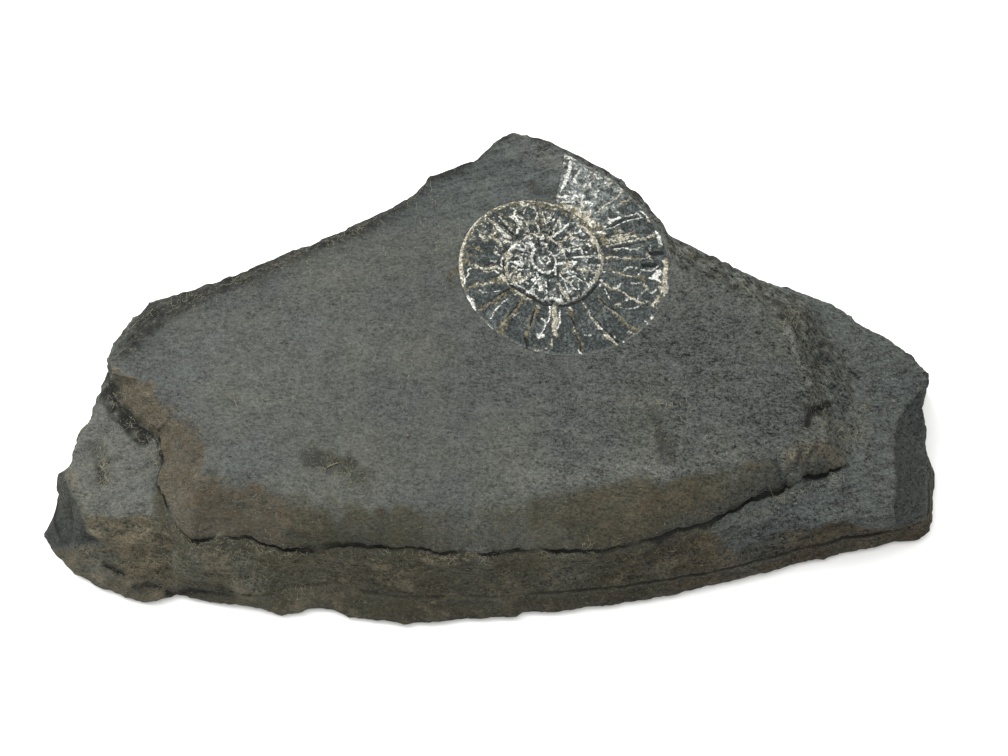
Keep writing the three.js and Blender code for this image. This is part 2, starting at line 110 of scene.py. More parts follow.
# Top of the lower layer, with its height
SHELF = [
    (92.4, -42.5, 16.6), (92.4, -34, 17.4), (92.6, -26, 18), (95, -18.5, 18), (98.5, -13, 18),
    (102.2, -9.3, 18), (103.6, -6, 18), (100.3, -1.8, 18), (95.5, 3.4, 18), (84, 11.6, 18.3),
    (76, 14.8, 19), (62, 21, 19), (50, 27.4, 19), (41.3, 33.2, 19), (36, 41, 19), (30, 47, 19),
    (23, 53, 19), (14.5, 57.5, 19), (5, 60.5, 19), (0, 57, 19), (-5, 51, 18), (-13, 47, 18),
    (-21, 43.2, 17), (-34, 36, 17), (-54, 25.7, 17), (-74, 16.5, 17), (-84, 13, 17),
    (-90, 7.5, 17.5), (-92.6, 0, 18), (-93.4, -7, 18.6), (-94.6, -14, 18.8), (-97, -21, 18.8),
    (-99.3, -30, 18.5), (-96.4, -36, 18.3), (-94.2, -42.5, 17.8), (-85.5, -43, 18),
    (-80, -41.6, 18.4), (-77, -44, 18.8), (-72.5, -49.5, 18.8), (-69.3, -51, 19),
    (-57, -50.3, 19), (-48, -53.3, 19), (-41, -53.5, 19), (-30, -52.4, 19), (-17, -53, 19),
    (-3, -54.8, 19), (4, -53.5, 19), (20, -53.7, 19), (33, -50.9, 18), (46.8, -46.6, 17),
    (56.1, -44.4, 16.8), (65.3, -42.9, 16.8), (80, -42.9, 16.8),
]
# Lower lip of the upper layer, with its height and the depth of the split beneath it
LIP = [
    (72, -34, 21, 0.9), (76, -33.6, 21, 1.5), (80.6, -31.8, 20.6, 0.6), (84, -27, 20, 0),
    (85.5, -18, 19.7, 0), (85, -10, 19.7, 0), (82, -3, 19.7, 0), (78, 4, 20.5, 0),
    (74.6, 11.4, 22.5, 0), (67.7, 15.2, 23.5, 0), (57.3, 20.9, 23.5, 0), (50.1, 25.7, 23.5, 0),
    (42.6, 28.8, 25, 0), (39.4, 33.8, 25.5, 0), (31, 44.9, 25.5, 0), (19.4, 52.8, 25.5, 0),
    (12, 56.1, 25.5, 0), (4, 58.3, 25.5, 0), (0, 55.6, 25.5, 0), (-5, 51, 25, 0),
    (-9, 48.4, 25, 0), (-16.5, 45.9, 24.8, 0), (-20.8, 41.6, 23, 0), (-31.6, 35.8, 22, 0),
    (-43, 28.9, 22, 0), (-52.1, 25.2, 22, 0), (-60.6, 20.7, 22, 0), (-72.6, 15.6, 22, 0),
    (-83.9, 11.6, 22, 0), (-88, 6, 22, 0), (-91, 0.5, 22, 0), (-91.7, -6, 21.8, 0),
    (-89.8, -13.5, 21.2, 0), (-86.4, -18.4, 20.9, 0.1), (-79, -24.4, 20.9, 0.7),
    (-77, -31, 20.6, 0.7), (-78, -36, 20.5, 0.6), (-75.5, -40, 20.4, 0.6), (-71.8, -47.2, 20.2, 0.7),
    (-68.6, -49.6, 20.4, 0.8), (-56.5, -49, 20.6, 0.8), (-47.6, -52, 20.6, 0.9),
    (-41, -52.3, 20.6, 0.9), (-33.1, -50.9, 20.6, 0.8), (-17, -51.8, 20.6, 0.7),
    (-3.5, -53.4, 20.6, 0.7), (6, -52.2, 20.6, 0.8), (19.8, -52.5, 20.6, 0.9),
    (29.2, -51.4, 20.6, 0.9), (37.5, -49, 20.6, 1), (47.8, -45.3, 20.7, 1.6),
    (58.3, -40, 20.9, 2), (66.5, -36.8, 21, 1.1), (70, -35.6, 21, 0.5),
]
# Edge of the flat top, where the bevels begin
TOP_EDGE = [
    (70.2, -29.5), (75.3, -28.4), (76, -24), (72.8, -20.5), (73.4, -13.7), (71.5, -8.8),
    (70.2, -4), (70, 1.5), (66.2, 7.4), (56.5, 12.1), (45, 17.7), (42.8, 23), (41.5, 28),
    (38.4, 33.8), (30, 44), (18.7, 51.6), (11.5, 55.5), (7.5, 57), (4, 57.1), (0.6, 55.2),
    (-3.2, 52.1), (-5, 49.6), (-11, 45.4), (-16.4, 43.4), (-20.6, 37.4), (-31.6, 28.3),
    (-41.9, 24.3), (-57.2, 14.6), (-66.7, 10.6), (-78, 3.6), (-84, -4), (-90, -7.8),
    (-89.6, -11), (-82.6, -12.7), (-76.2, -17.5), (-70, -22.8), (-66, -29), (-66.5, -36.8),
    (-54, -38.7), (-44, -43.9), (-39.3, -45.2), (-26.3, -45.4), (-12.7, -44.8), (3.3, -43.3),
    (23.3, -40), (36, -38.8), (45.3, -37.4), (64.6, -33),
]


def clumps(points, size, octaves=3, seed=0.0):
    """Smooth random values from about -1 to 1, in lumps of a size in millimetres."""
    places = (points / np.array(size, float) + seed).tolist()
    return np.array([noise.fractal(place, 1.0, 2.0, octaves) for place in places])


def smooth_step(low, high, values):
    """A smooth rise from 0 at low to 1 at high, or a fall where low is above high."""
    share = np.clip((values - low) / (high - low), 0, 1)
    return share * share * (3 - 2 * share)


def fade(gap, width=1.0):
    """1 where a gap is nothing, fading out over a width."""
    return np.exp(-(gap / width) ** 2)


def reach(outline, starts, ways):
    """How far out rays from inside meet an outline, and the outline's further values there."""
    here = np.array(outline, float)
    edge = np.roll(here, -1, axis=0) - here
    gap = here[None, :, :2] - starts[:, None]
    cross = ways[:, None, 0] * edge[:, 1] - ways[:, None, 1] * edge[:, 0]
    cross = np.where(abs(cross) < 1e-9, np.nan, cross)
    along = (gap[..., 0] * edge[:, 1] - gap[..., 1] * edge[:, 0]) / cross
    share = (gap[..., 0] * ways[:, None, 1] - gap[..., 1] * ways[:, None, 0]) / cross
    along = np.where((share > -1e-9) & (share < 1 + 1e-9), along, -np.inf)
    rays = np.arange(len(starts))
    hit = np.argmax(along, axis=1)
    return along[rays, hit], here[hit, 2:] + share[rays, hit][:, None] * edge[hit, 2:]


side_places = np.linspace(SPINE_HALF, -SPINE_HALF, SPINE_RAYS, endpoint=False)
end_turn = np.linspace(0, math.pi, END_RAYS, endpoint=False)
ray_x = np.concatenate([
    np.full(END_RAYS, SPINE_HALF), side_places, np.full(END_RAYS, -SPINE_HALF), -side_places,
])
ray_turn = np.concatenate([
    end_turn - math.pi / 2, np.full(SPINE_RAYS, math.pi / 2),
    end_turn + math.pi / 2, np.full(SPINE_RAYS, -math.pi / 2),
])
ray_starts = np.column_stack([ray_x, np.full(len(ray_x), SPINE_Y)])
ray_ways = np.column_stack([np.cos(ray_turn), np.sin(ray_turn)])
behind = smooth_step(-0.35, 0.25, ray_ways[:, 1])  # from 0 round the front to 1 round the back


def chipped(distance, seed, nicks=EDGE_NICKS):
    """An edge with chips and nicks out of it."""
    spots = ray_starts + ray_ways * distance[:, None]
    spots = np.column_stack([spots, np.full(len(spots), seed)])
    rough_edge = EDGE_CHIPS * clumps(spots, CHIP_WIDTH, 4) + nicks * clumps(spots, NICK_WIDTH, 2)
    return distance + rough_edge * (1 - 0.5 * behind)


base, _ = reach(BASE, ray_starts, ray_ways)
lamina, _ = reach(LAMINA, ray_starts, ray_ways)
shelf, shelf_values = reach(SHELF, ray_starts, ray_ways)
lip, lip_values = reach(LIP, ray_starts, ray_ways)
top_edge, _ = reach(TOP_EDGE, ray_starts, ray_ways)
ray_rim = np.column_stack([ray_starts + ray_ways * base[:, None], np.zeros(len(base))])
drift = BED_WANDER * behind * clumps(ray_rim, WANDER_LENGTH, 2)
split_depth = lip_values[:, 1] * PARTING_DEPTH
# How far the split is open, from 0 to 1
open_share = smooth_step(0.1, 1.6, lip_values[:, 1] * (1 + 0.7 * clumps(ray_rim, 6, 3, 50.0)))
# At the right end the upper layer has no lip, and its rough break runs out on the lower layer
runs_out = (1 - open_share) * smooth_step(70, 90, ray_rim[:, 0]) * smooth_step(14, 4, ray_rim[:, 1])
lip_z = lip_values[:, 0] - PARTING_GAP * runs_out + open_share * (
    LIP_RIPPLE * clumps(ray_rim, 7, 3, 21.0) + LIP_RIPPLE * clumps(ray_rim, 2.2, 2, 24.0))
split_floor = lip_z - PARTING_GAP * open_share * (1 + 0.5 * clumps(ray_rim, 5, 3, 9.0))
shelf_z = np.minimum(shelf_values[:, 0] + drift, split_floor - 0.1)
lamina_z = BOTTOM_LAMINA + drift + LAMINA_RIPPLE * clumps(ray_rim, 12, 3, 5.0)
at_right_end = smooth_step(62, 72, ray_rim[:, 0]) * smooth_step(10, 0, ray_rim[:, 1])
lip_edge = chipped(lip, 30.0, LIP_NICKS) + at_right_end * clumps(ray_rim, 3, 3, 60.0)
top_rim = chipped(top_edge, 40.0) + at_right_end * clumps(ray_rim, 4, 3, 65.0)

# Key points of every section, from the middle of the sole round the side to the middle of the
# top: how far out, how high, and how many rows of faces run to the next
profile = [
    ("sole", 0 * base, 0 * base, 3),
    ("foot", base - SOLE_INSET, 0 * base, 1),
    ("lamina", chipped(base, 10.0, BASE_NICKS), 0 * base + BASE_EDGE, 9),
    ("notch", chipped(lamina, 10.5), lamina_z - 0.15, 2),
    ("face", lamina - LAMINA_NOTCH * (1 - 0.6 * behind), lamina_z + 0.2, 26),
    ("shelf", chipped(shelf, 20.0), shelf_z, 19),
    ("split floor", lip_edge, split_floor, 2),
    ("split roof", lip_edge - split_depth, (split_floor + lip_z) / 2, 2),
    ("bevel", lip_edge, lip_z, 19),
    ("top", top_rim, 0 * base + TOP, 40),
    ("spine", 0 * base, 0 * base + TOP, 0),
]
bands = []
outs = []
heights = []
for (band, out, height, rows), (_, next_out, next_height, _) in zip(profile, profile[1:]):
    for step in np.arange(rows) / rows:
        # Rows crowd together beside the split, whose edges are finer than the rest
        share = {"shelf": 1 - (1 - step) ** 1.5, "bevel": step ** 1.3}.get(band, step)
        bulge = BEVEL_BULGE * math.sin(math.pi * share) * (band == "bevel") * (1 - 2 * runs_out)
        bands.append(band)
        outs.append(out + share * (next_out - out))
        heights.append(height + share * (next_height - height) + bulge)
bands = np.array(bands + ["spine"])
outs = np.array(outs + [profile[-1][1]])
heights = np.array(heights + [profile[-1][2]])

# Corners between the beds are worn round, apart from the floor, the open split and the notch.
# Where the upper layer is broken off without a split, the break is worn to one slope.
kept_sharp = np.isin(bands, ["sole", "foot", "notch", "split floor", "split roof"])
kept_sharp[np.flatnonzero(bands == "face")[:2]] = True
on_break = np.isin(bands, ["shelf", "split floor", "split roof", "bevel"])
on_break[np.flatnonzero(bands == "shelf")[:3]] = False
unsplit = on_break[:, None] * (1 - smooth_step(0.02, 0.3, open_share))[None]
for turn in range(BREAK_WEAR):
    wear = np.maximum(~kept_sharp[:, None] * (turn < CORNER_WEAR), unsplit)[1:-1]
    for rows in (outs, heights):
        worn_rows = (rows[:-2] + 2 * rows[1:-1] + rows[2:]) / 4
        rows[1:-1] += wear * (worn_rows - rows[1:-1])
plan = ray_starts[None] + ray_ways[None] * outs[..., None]
skin = np.dstack([plan, heights])
points = skin.reshape(-1, 3)
grid_shape = outs.shape


def spread(by_band, blur=3):
    """One value for every point of the skin, given band by band and blended where they meet."""
    rows = np.array([by_band.get(band, 0) for band in bands], float)
    for _ in range(blur):
        rows[1:-1] = (rows[:-2] + rows[1:-1] + rows[2:]) / 3
    return np.repeat(rows, grid_shape[1])


def on_all_rows(by_section):
    """One value for every point of the skin, given section by section round the slab."""
    return np.tile(by_section, grid_shape[0])


def line_distance(spots, line):
    """Distance in plan from each spot to a line through given points."""
    nearest = np.full(len(spots), np.inf)
    line = np.array(line, float)
    for start, end in zip(line, line[1:]):
        edge = end - start
        share = np.clip((spots - start) @ edge / (edge @ edge), 0, 1)
        gap = spots - start - share[:, None] * edge
        nearest = np.minimum(nearest, np.hypot(gap[:, 0], gap[:, 1]))
    return nearest


def from_line(line):
    """Distance in plan from each point of the skin to a line through given points."""
    return line_distance(points[:, :2], line)


def along_length(*stops):
    """A value that changes along the slab, from stops of a place in x and the value there."""
    return np.interp(x, *zip(*stops))


# The shell's spiral, which the bed is hollowed out for: it widens by e^GROWTH each radian and is
# crushed to an oval
SHELL_CENTRE = np.array([11.8, 19.7])
SHELL_RADIUS = 29.3
RADIUS_ANGLE = math.radians(-6)
GROWTH = 0.128
OVAL = 1.096
OVAL_TURN = math.radians(38)
APERTURE = math.radians(78)
EDGE_RIM = 1.2
FULL_TURN = 2 * math.pi


def crushed(angle, radius):
    """Place in plan of a point of the spiral's own plane."""
    short = radius * np.cos(angle - OVAL_TURN)
    long = radius * np.sin(angle - OVAL_TURN) * OVAL
    return np.stack([
        SHELL_CENTRE[0] + short * math.cos(OVAL_TURN) - long * math.sin(OVAL_TURN),
        SHELL_CENTRE[1] + short * math.sin(OVAL_TURN) + long * math.cos(OVAL_TURN),
    ], axis=-1)


def uncrushed(spots):
    """Angle and radius in the spiral's own plane of places in plan."""
    gap = spots - SHELL_CENTRE
    short = gap[:, 0] * math.cos(OVAL_TURN) + gap[:, 1] * math.sin(OVAL_TURN)
    long = (gap[:, 1] * math.cos(OVAL_TURN) - gap[:, 0] * math.sin(OVAL_TURN)) / OVAL
    angle = np.arctan2(long, short) + OVAL_TURN
    angle = APERTURE - np.mod(APERTURE - angle, FULL_TURN)
    return angle, np.hypot(short, long)


def spiral_radius(angle):
    """Radius of the spiral that the shell's outer margin and its seams follow."""
    return SHELL_RADIUS * np.exp(GROWTH * (angle - RADIUS_ANGLE))


def margin_radius(angle):
    """Outer margin of the last whorl, cut short where the slab's edge broke it."""
    ways = crushed(angle, 1.0) - SHELL_CENTRE
    length = np.hypot(ways[:, 0], ways[:, 1])
    starts = np.tile(SHELL_CENTRE, (len(angle), 1))
    to_edge, _ = reach(TOP_EDGE, starts, ways)
    return np.minimum(spiral_radius(angle), to_edge - EDGE_RIM / length)


# What each part of the skin is: its bands, the front of the slab, and its rough breaks
on_top = spread({"top": 1, "spine": 1})
on_bevel = spread({"bevel": 1}, 2)
on_face = spread({"face": 1}, 1)
on_shelf = spread({"shelf": 1, "split floor": 1}, 2)
on_lamina = spread({"lamina": 1, "foot": 1}, 1)
on_notch = spread({"notch": 1}, 0)
in_split = spread({"split roof": 1, "split floor": 1}, 0)
front = on_all_rows(smooth_step(-0.05, 0.45, -ray_ways[:, 1]))
split_open = on_all_rows(open_share)
x, y, z = points.T
ragged = clumps(points, 9, 4, 17.0)
ragged_fine = clumps(points, 2.6, 3, 27.0)
edge_gap = from_line(TOP_EDGE + TOP_EDGE[:1])
lip_gap = np.abs(outs - lip_edge[None]).ravel()
right_break = smooth_step(64, 71, x + 2 * ragged) * smooth_step(-30, -26, y + 2 * ragged)
back_break = on_bevel * (1 - smooth_step(-6, -11, y + 1.5 * ragged))
rough = back_break + right_break * (on_bevel + on_shelf * fade(lip_gap, 4) + on_top * fade(edge_gap, 3))
rough += on_top * (y > -8) * fade(edge_gap, 1.2)
rough += 0.45 * on_bevel * smooth_step(42, 54, x) * (y < -25)
rough = np.clip(rough, 0, 1)

# Pits at the left end: how wide and how ragged, their share of the depth, and the line they follow
PIT_DEPTH = 1.6
PITS = [
    (2.3, 0.5, 1, [(-93, -8), (-90.6, -13.2), (-88.2, -17.2), (-85, -20.8), (-82, -23.8)]),
    (3, 0.6, 1, [(-96, -6), (-93, -9.5), (-90.5, -13)]),
    (2.2, 0.7, 0.65, [(-92.8, -26), (-91.2, -29.5), (-90.6, -33.5)]),
]
pit = np.zeros(len(points))
for width, raggedness, depth, line in PITS:
    gap = from_line(line) / width + raggedness * ragged_fine
    pit = np.maximum(pit, depth * np.exp(-gap ** 4))
pit *= np.clip(on_shelf + on_bevel + in_split, 0, 1) * (0.85 + 0.8 * ragged_fine)

# The crack where the split comes out, short cracks along the left rim, and a small notch and a
# ridge on the right
CRACK_WIDTH = 0.3
CRACK_DEPTH = 0.9
NARROWEST_CRACK = 0.1
crack_width = CRACK_WIDTH * (1 + 0.7 * smooth_step(36, 48, x) + 1.8 * clumps(points, 4, 3, 33.0))
crack = split_open * (on_shelf + 0.7 * on_bevel) * fade(lip_gap, np.maximum(crack_width, NARROWEST_CRACK))
RIM_CRACK_REACH = 0.8
RIM_CRACK_DEPTH = 0.5
RIM_CRACKS = [
    [(-91.1, -50.5), (-89, -51.2), (-87.7, -52.2), (-86, -52.5)],
    [(-83.8, -54.6), (-81.3, -54.4), (-78.4, -54.6)],
    [(-76.8, -55.4), (-72.2, -55.5), (-67.4, -56.2), (-61.3, -56.6)],
]
rim_crack_gap = np.min([from_line(line) for line in RIM_CRACKS], axis=0)
rim_crack = np.exp(-rim_crack_gap / RIM_CRACK_REACH) * (on_face + on_lamina)
NOTCH_DEPTH = 0.9
RIGHT_NOTCH = [(71.6, -24.2), (72, -22), (73.4, -20), (75.4, -18.4), (78, -16.4)]
notch_gap = from_line(RIGHT_NOTCH)
RIDGE_HEIGHT = 0.5
RIGHT_RIDGE = [(68.8, 0.5), (70.2, -5), (71.6, -8.7), (73.5, -13.5)]
ridge_gap = from_line(RIGHT_RIDGE)

# Relief of the skin: worn lumps on the broken faces, thin beds that stand out on the sides, and
# nearly smooth bedding planes. A size of three is a length, a width and a thickness.
LUMP_SIZE = 9
THIN_BED = (26, 26, 1.3)
SPLINTER = (8, 8, 1.8)
GRIT_SIZE = 2.4
BROKEN_BED = (24, 24, 2.2)
BED_STEP = 0.8
LEDGE_RELIEF = 0.7
lump_relief = spread({
    "lamina": 0.4, "notch": 0.3, "face": 1.2, "shelf": 0.4, "bevel": 0.75, "top": 0.16, "foot": 0.1,
})
bed_relief = spread({"lamina": 0.3, "face": 0.3, "bevel": 0.12})
splinter_relief = spread({"lamina": 0.2, "face": 0.5, "shelf": 0.1, "bevel": 0.15})
grit_relief = spread({
    "lamina": 0.14, "notch": 0.1, "face": 0.36, "shelf": 0.1, "bevel": 0.2, "top": 0.05,
}) + 0.5 * rough * (1 - 0.75 * smooth_step(36, 28, x))
side_share = spread({"lamina": 1, "face": 1, "notch": 1, "shelf": 0.3, "bevel": 0.25})
bed_steps = np.round(1.7 * clumps(points, BROKEN_BED, 1, 3.0)) * BED_STEP * side_share
ON_BED = TOP - 1  # what is higher belongs to the top bedding plane
angle, radius = uncrushed(points[:, :2])
margin = margin_radius(angle)
clear_of_shell = np.clip(smooth_step(0.3, 4, radius - margin) + (z < ON_BED), 0, 1)
lumpy = 1 + 0.6 * smooth_step(-30, -60, x)
lumps = clumps(points, LUMP_SIZE, 4)
rise = (
    lumpy * lump_relief * lumps
    + bed_relief * clumps(points, THIN_BED, 2, 7.0)
    + splinter_relief * np.round(2.5 * clumps(points, SPLINTER, 2, 15.0)) / 2.5
    + grit_relief * clumps(points, GRIT_SIZE, 3, 11.0)
    + bed_steps * on_all_rows(behind)
    + LEDGE_RELIEF * on_shelf * smooth_step(-76, -82, x) * ragged_fine
) * clear_of_shell
across = np.roll(skin, -1, axis=1) - np.roll(skin, 1, axis=1)
along = np.gradient(skin, axis=0)
normals = np.cross(across, along)
normals /= np.maximum(np.linalg.norm(normals, axis=2, keepdims=True), 1e-9)
points = points + normals.reshape(-1, 3) * rise[:, None]
points[:, 2] -= PIT_DEPTH * pit + CRACK_DEPTH * crack + RIM_CRACK_DEPTH * rim_crack
points[:, 2] -= NOTCH_DEPTH * fade(notch_gap)
points[:, 2] += RIDGE_HEIGHT * fade(ridge_gap)
# The upper layer's lip ends in a bump on the right
BUMP_HEIGHT = 0.9
BUMP_WIDTH = 2.4
LIP_BUMP = [(67.5, -32.6), (71, -30.6), (75.5, -29.8), (78.4, -31)]
lip_bump = fade(from_line(LIP_BUMP) / BUMP_WIDTH + 0.9 * ragged_fine) * (on_top + on_bevel)
points[:, 2] += (BUMP_HEIGHT + 1.5 * ragged_fine) * lip_bump
# The bed is hollowed under the shell
HOLLOW = 1.0
HOLLOW_INSET = 0.5
under_shell = smooth_step(HOLLOW_INSET, HOLLOW_INSET + 1, margin - radius) * (z > ON_BED)
under_shell *= smooth_step(1.5, 3, (APERTURE - angle) * radius)
points[:, 2] = np.maximum(points[:, 2] - HOLLOW * under_shell, 0)

# Stains of the skin, all from 0 to 1. First where the worn and the broken parts are.
past_rim = (outs - top_rim[None]).ravel() + 2.5 * ragged + 1.5 * ragged_fine
worn = smooth_step(-3, 2.5, past_rim) * (on_top + on_bevel)
worn *= smooth_step(-6, -10, y + 2 * ragged_fine) * (1 - right_break)
worn *= 1 - 0.45 * smooth_step(58, 68, x)
lip_reach = 2.5 + 1.5 * smooth_step(30, 50, x)
near_lip = fade(lip_gap / lip_reach + 0.3 * ragged)
worn *= 1 - 0.6 * near_lip * smooth_step(30, 45, x)
# The ledge under the upper layer's lip: stained, and painted darker as painted shade under the lip
under_lip = on_shelf * smooth_step(54, 44, x) * smooth_step(-80, -76, x)
face_front = (on_face + on_notch + on_lamina) * front
# On the right the blue-grey of the ledge comes down over the face to here
band_top = along_length(
    (44, 22), (50, 16), (55, 10.5), (61, 12.2), (70, 13.9), (80, 12.9), (94, 8.5), (100, 8))
above_band = smooth_step(-0.5, 0.5, z - band_top + 0.9 * ragged) * (on_face + on_shelf)
# Flat broken facets close the slab at both ends. They face away from the light and are painted darker, as
# painted shade.
LEFT_FACET_EDGE = [
    (-90.6, -46.7), (-93.4, -45.1), (-94.6, -42.9), (-95, -40.5), (-97.1, -36.1), (-99.3, -31.9),
    (-102, -27), (-106, -20),
]
facet_x, facet_y = zip(*LEFT_FACET_EDGE)
left_facet = smooth_step(0.8, -0.8, x - np.interp(y, facet_y, facet_x))
left_facet *= smooth_step(-0.8, 0.8, y + 47 - 0.16 * (-91 - x)) * (x < -88)
past_shelf = (outs - shelf[None]).ravel()
shelf_gap = abs(past_shelf)
right_facet = on_face * smooth_step(88, 91, x) * smooth_step(-44, -40, y)
right_facet *= smooth_step(-0.1, 0.4, past_shelf)
stained_face = face_front * (1 - above_band) * (1 - right_facet) * (1 - left_facet)
# Crests of the lumps on the stained face: dust lies on them as a khaki tint, and they are painted lighter
# as a painted highlight
crests = smooth_step(0.05, 0.5, lumps + 0.5 * ragged_fine) * stained_face
# At the left end the brown of the side runs up over the ledge's edge
left_rim = face_front * smooth_step(-70, -80, x) * (1 - left_facet)
left_rim = np.maximum(left_rim, on_shelf * smooth_step(-76, -80, x) * smooth_step(-34, -42, y)
                      * fade(shelf_gap / 3 + 0.5 * ragged_fine))

# Iron, olive and tan stain
patchy = 1 + 0.9 * clumps(points, 13, 3, 40.0)
rust_spots = smooth_step(0.15, 0.5, clumps(points, (4, 4, 2.5), 3, 44.0))
iron = worn * along_length(
    (-92, 0.3), (-84, 0.4), (-74, 0.25), (-62, 0.5), (-50, 0.5), (-44, 0.2), (-15, 0.05), (0, 0.05),
    (30, 0.3), (50, 0.35), (70, 0.2))
iron += stained_face * along_length(
    (-80, 0.25), (-60, 0.3), (-20, 0.25), (20, 0.3), (50, 0.6), (70, 0.7))
iron = 0.7 * iron * patchy + under_lip * 0.2 + left_rim * 0.1
iron += rust_spots * (0.25 * worn + 0.1 * stained_face)
olive = worn * along_length(
    (-92, 0.2), (-62, 0.3), (-50, 0.4), (-44, 0.85), (-20, 0.7), (-8, 0.35), (4, 0.4), (20, 0.85),
    (60, 0.8), (72, 0.7))
olive += stained_face * 0.75 + under_lip * 0.75
olive += (on_face + on_lamina) * (1 - front) * 0.4 * (1 - right_facet)
olive *= 0.5 + 0.5 * patchy
tan = worn * along_length(
    (-90, 1), (-66, 0.7), (-50, 0.4), (-44, 0.1), (60, 0.1), (68, 0.4), (80, 0.4))
tan += left_rim * 0.3 + on_shelf * smooth_step(-84, -90, x) * 0.15 + 0.5 * crests + 0.5 * lip_bump

# Dark, pale and blue tones: the stone's own, apart from painted shade in the pits and on the end
# facets and painted light on the ledge at the left. The break on the right is darkest near the back.
on_ridge = fade(ridge_gap, 0.9)
dark_break = rough * (1 - on_ridge) * (1 - 0.6 * smooth_step(-6, -14, y) * right_break)
# The pits are painted dark: painted shade in them
dark = dark_break * (0.4 + 0.5 * ragged_fine) + pit
# Painted shade: the end facets, which face away from the light, are darker
dark += left_facet * 0.5 + right_facet * 0.3 + on_notch * 0.2 + (1 - front) * on_lamina * 0.3
dark += 0.5 * lip_bump * smooth_step(0, 0.4, ragged_fine)
# Painted light: the ledge at the left, which faces up to the light, is painted paler
pale = on_shelf * smooth_step(-76, -82, x) * 0.8 * (1 - pit) * (1 - left_facet)
pale += 1.2 * on_ridge
pale += 0.8 * on_top * fade(past_rim + 4, 2.5) * smooth_step(0, 14, x) * smooth_step(58, 46, x)
blue = (on_shelf + on_face) * smooth_step(46, 60, x) * 0.5 + on_top * smooth_step(22, 40, y) * 0.75

# Khaki specks of lint and crumbs
khaki = 0.8 * rough * (1 - on_ridge) + 0.8 * lip_bump
khaki = khaki + 0.5 * (stained_face + pit + under_lip) + 0.3 * worn

# Gloom darkens a part all over, partly as the stone's own tone and partly as painted shade, and
# grain says how coarse the stone's own pattern is there
gloom = on_top * (0.18 * smooth_step(-10, 60, x) + 0.14 * smooth_step(-90, 0, x) - 0.08)
gloom += stained_face * along_length((-90, -0.16), (-60, -0.16), (0, 0.24), (30, 0.35), (70, 0.28))
# Painted highlight on the crests of the lumps
gloom -= 0.15 * crests
# The shelf under the lip gets painted shade
gloom += on_lamina * front * 0.1 + (1 - front) * on_lamina * 0.1 + under_lip * 0.2
gloom += worn * along_length(
    (-88, -0.08), (-78, -0.04), (-70, 0.16), (-60, 0.2), (-45, 0.04), (0, 0), (20, 0.02), (70, 0.02))
gloom -= 0.15 * lip_bump + 0.1 * left_rim
# The back edge on the left is a dark band of broken laminae
back_left = back_break * smooth_step(2, -12, x) * smooth_step(-93, -84, x)
back_rim = on_top * (y > -8) * smooth_step(8, -4, x)
gloom += 0.8 * back_left + 0.3 * back_rim * fade(edge_gap / 1.8 + 0.5 * ragged_fine)
gloom += 0.14 * back_rim * fade(edge_gap, 4.5)
# Painted shade on the end facets, deepest on the right one next to the shelf
gloom += left_facet * 0.25 + right_facet * (0.22 + 0.2 * np.exp(-shelf_gap / 1.5))
gloom += on_shelf * smooth_step(80, 92, x) * 0.12
# Painted shade: the bevel darkens towards the open split below it
gloom += on_bevel * (near_lip * split_open) * (0.3 + 0.05 * smooth_step(30, 50, x))
gloom += right_break * on_bevel * 0.08 + on_face * above_band * front * 0.15
grain = smooth_step(-20, 60, x) * (1 - 0.8 * worn) * (1 - 0.35 * on_shelf) + 0.6 * on_face
# Dark stains, each with its width, its strength and its line
DARK_STAINS = [
    (4.2, 0.6, [(-41, -33.5), (-34, -35), (-31, -37)]),
    (3.2, 0.5, [(35, -22), (38, -26), (39, -31)]),
    (1.8, 0.4, [(51, -11.5), (50.8, -15)]),
    (1.8, 0.5, [(72, -23), (77, -19)]),
    (2.5, 0.6, [(9, 41.5), (12.5, 39.5)]),
    (2.2, 0.4, [(-5, 40.6), (-2.5, 39.6)]),
]
for width, strength, line in DARK_STAINS:
    gap = from_line(line) / width + 0.7 * ragged + 0.5 * ragged_fine
    spot = smooth_step(1.2, 0.2, gap) * (on_top + on_bevel)
    dark = np.maximum(dark, strength * spot)
    khaki = np.maximum(khaki, spot)
# Rust spots, with their sizes
RUST_SPOTS = [
    (1.6, (-73.5, -20)), (1.4, (-76, -26)), (1.8, (-63.6, -36.5)), (1.2, (-80, -14.1)),
    (1.6, (8.7, -45.8)), (1, (16.6, -41.7)), (1.2, (24, -42.2)), (1.6, (17.1, -48.1)),
    (1, (13.5, -50.9)), (1.6, (-25.6, -45.8)), (1.8, (37.1, -42)),
]
for width, spot in RUST_SPOTS:
    gap = np.hypot(*(points[:, :2] - spot).T) / width + 0.5 * ragged_fine
    spot_there = smooth_step(0.9, 0.2, gap)
    iron = np.maximum(iron, 0.7 * spot_there)
    gloom += 0.22 * spot_there
# The shell's tan crust goes on over the stone on its left
SHELL_CRUST = [(-9.6, 17.4), (-10.8, 15), (-10.4, 12.4)]
crust_gap = from_line(SHELL_CRUST) / 1.5 + ragged_fine + 0.5 * ragged
shell_crust = smooth_step(1, 0.1, crust_gap)
tan = np.maximum(tan, 0.5 * shell_crust)
olive = np.maximum(olive, 0.7 * shell_crust)
khaki = np.maximum(khaki, shell_crust)
GLOOM_SHIFT = 0.3  # a colour layer holds 0 to 1, and some parts are lighter than the rest
# The split, the cracks, the pits and the notches are painted near black: painted shade in these gaps
painted_gap_shade = np.clip(in_split * split_open + 1.1 * crack + rim_crack, 0, 1)
notch_shows = along_length((-100, 0), (-75, 0.3), (-50, 0.35), (0, 0.35), (50, 0.7), (85, 0.7), (96, 0.3))
painted_gap_shade += on_notch * (notch_shows + 0.3 * ragged) * front
painted_gap_shade += 0.55 * pit * smooth_step(-0.3, 0.1, ragged_fine)
painted_gap_shade += 1.2 * fade(notch_gap, 0.7)


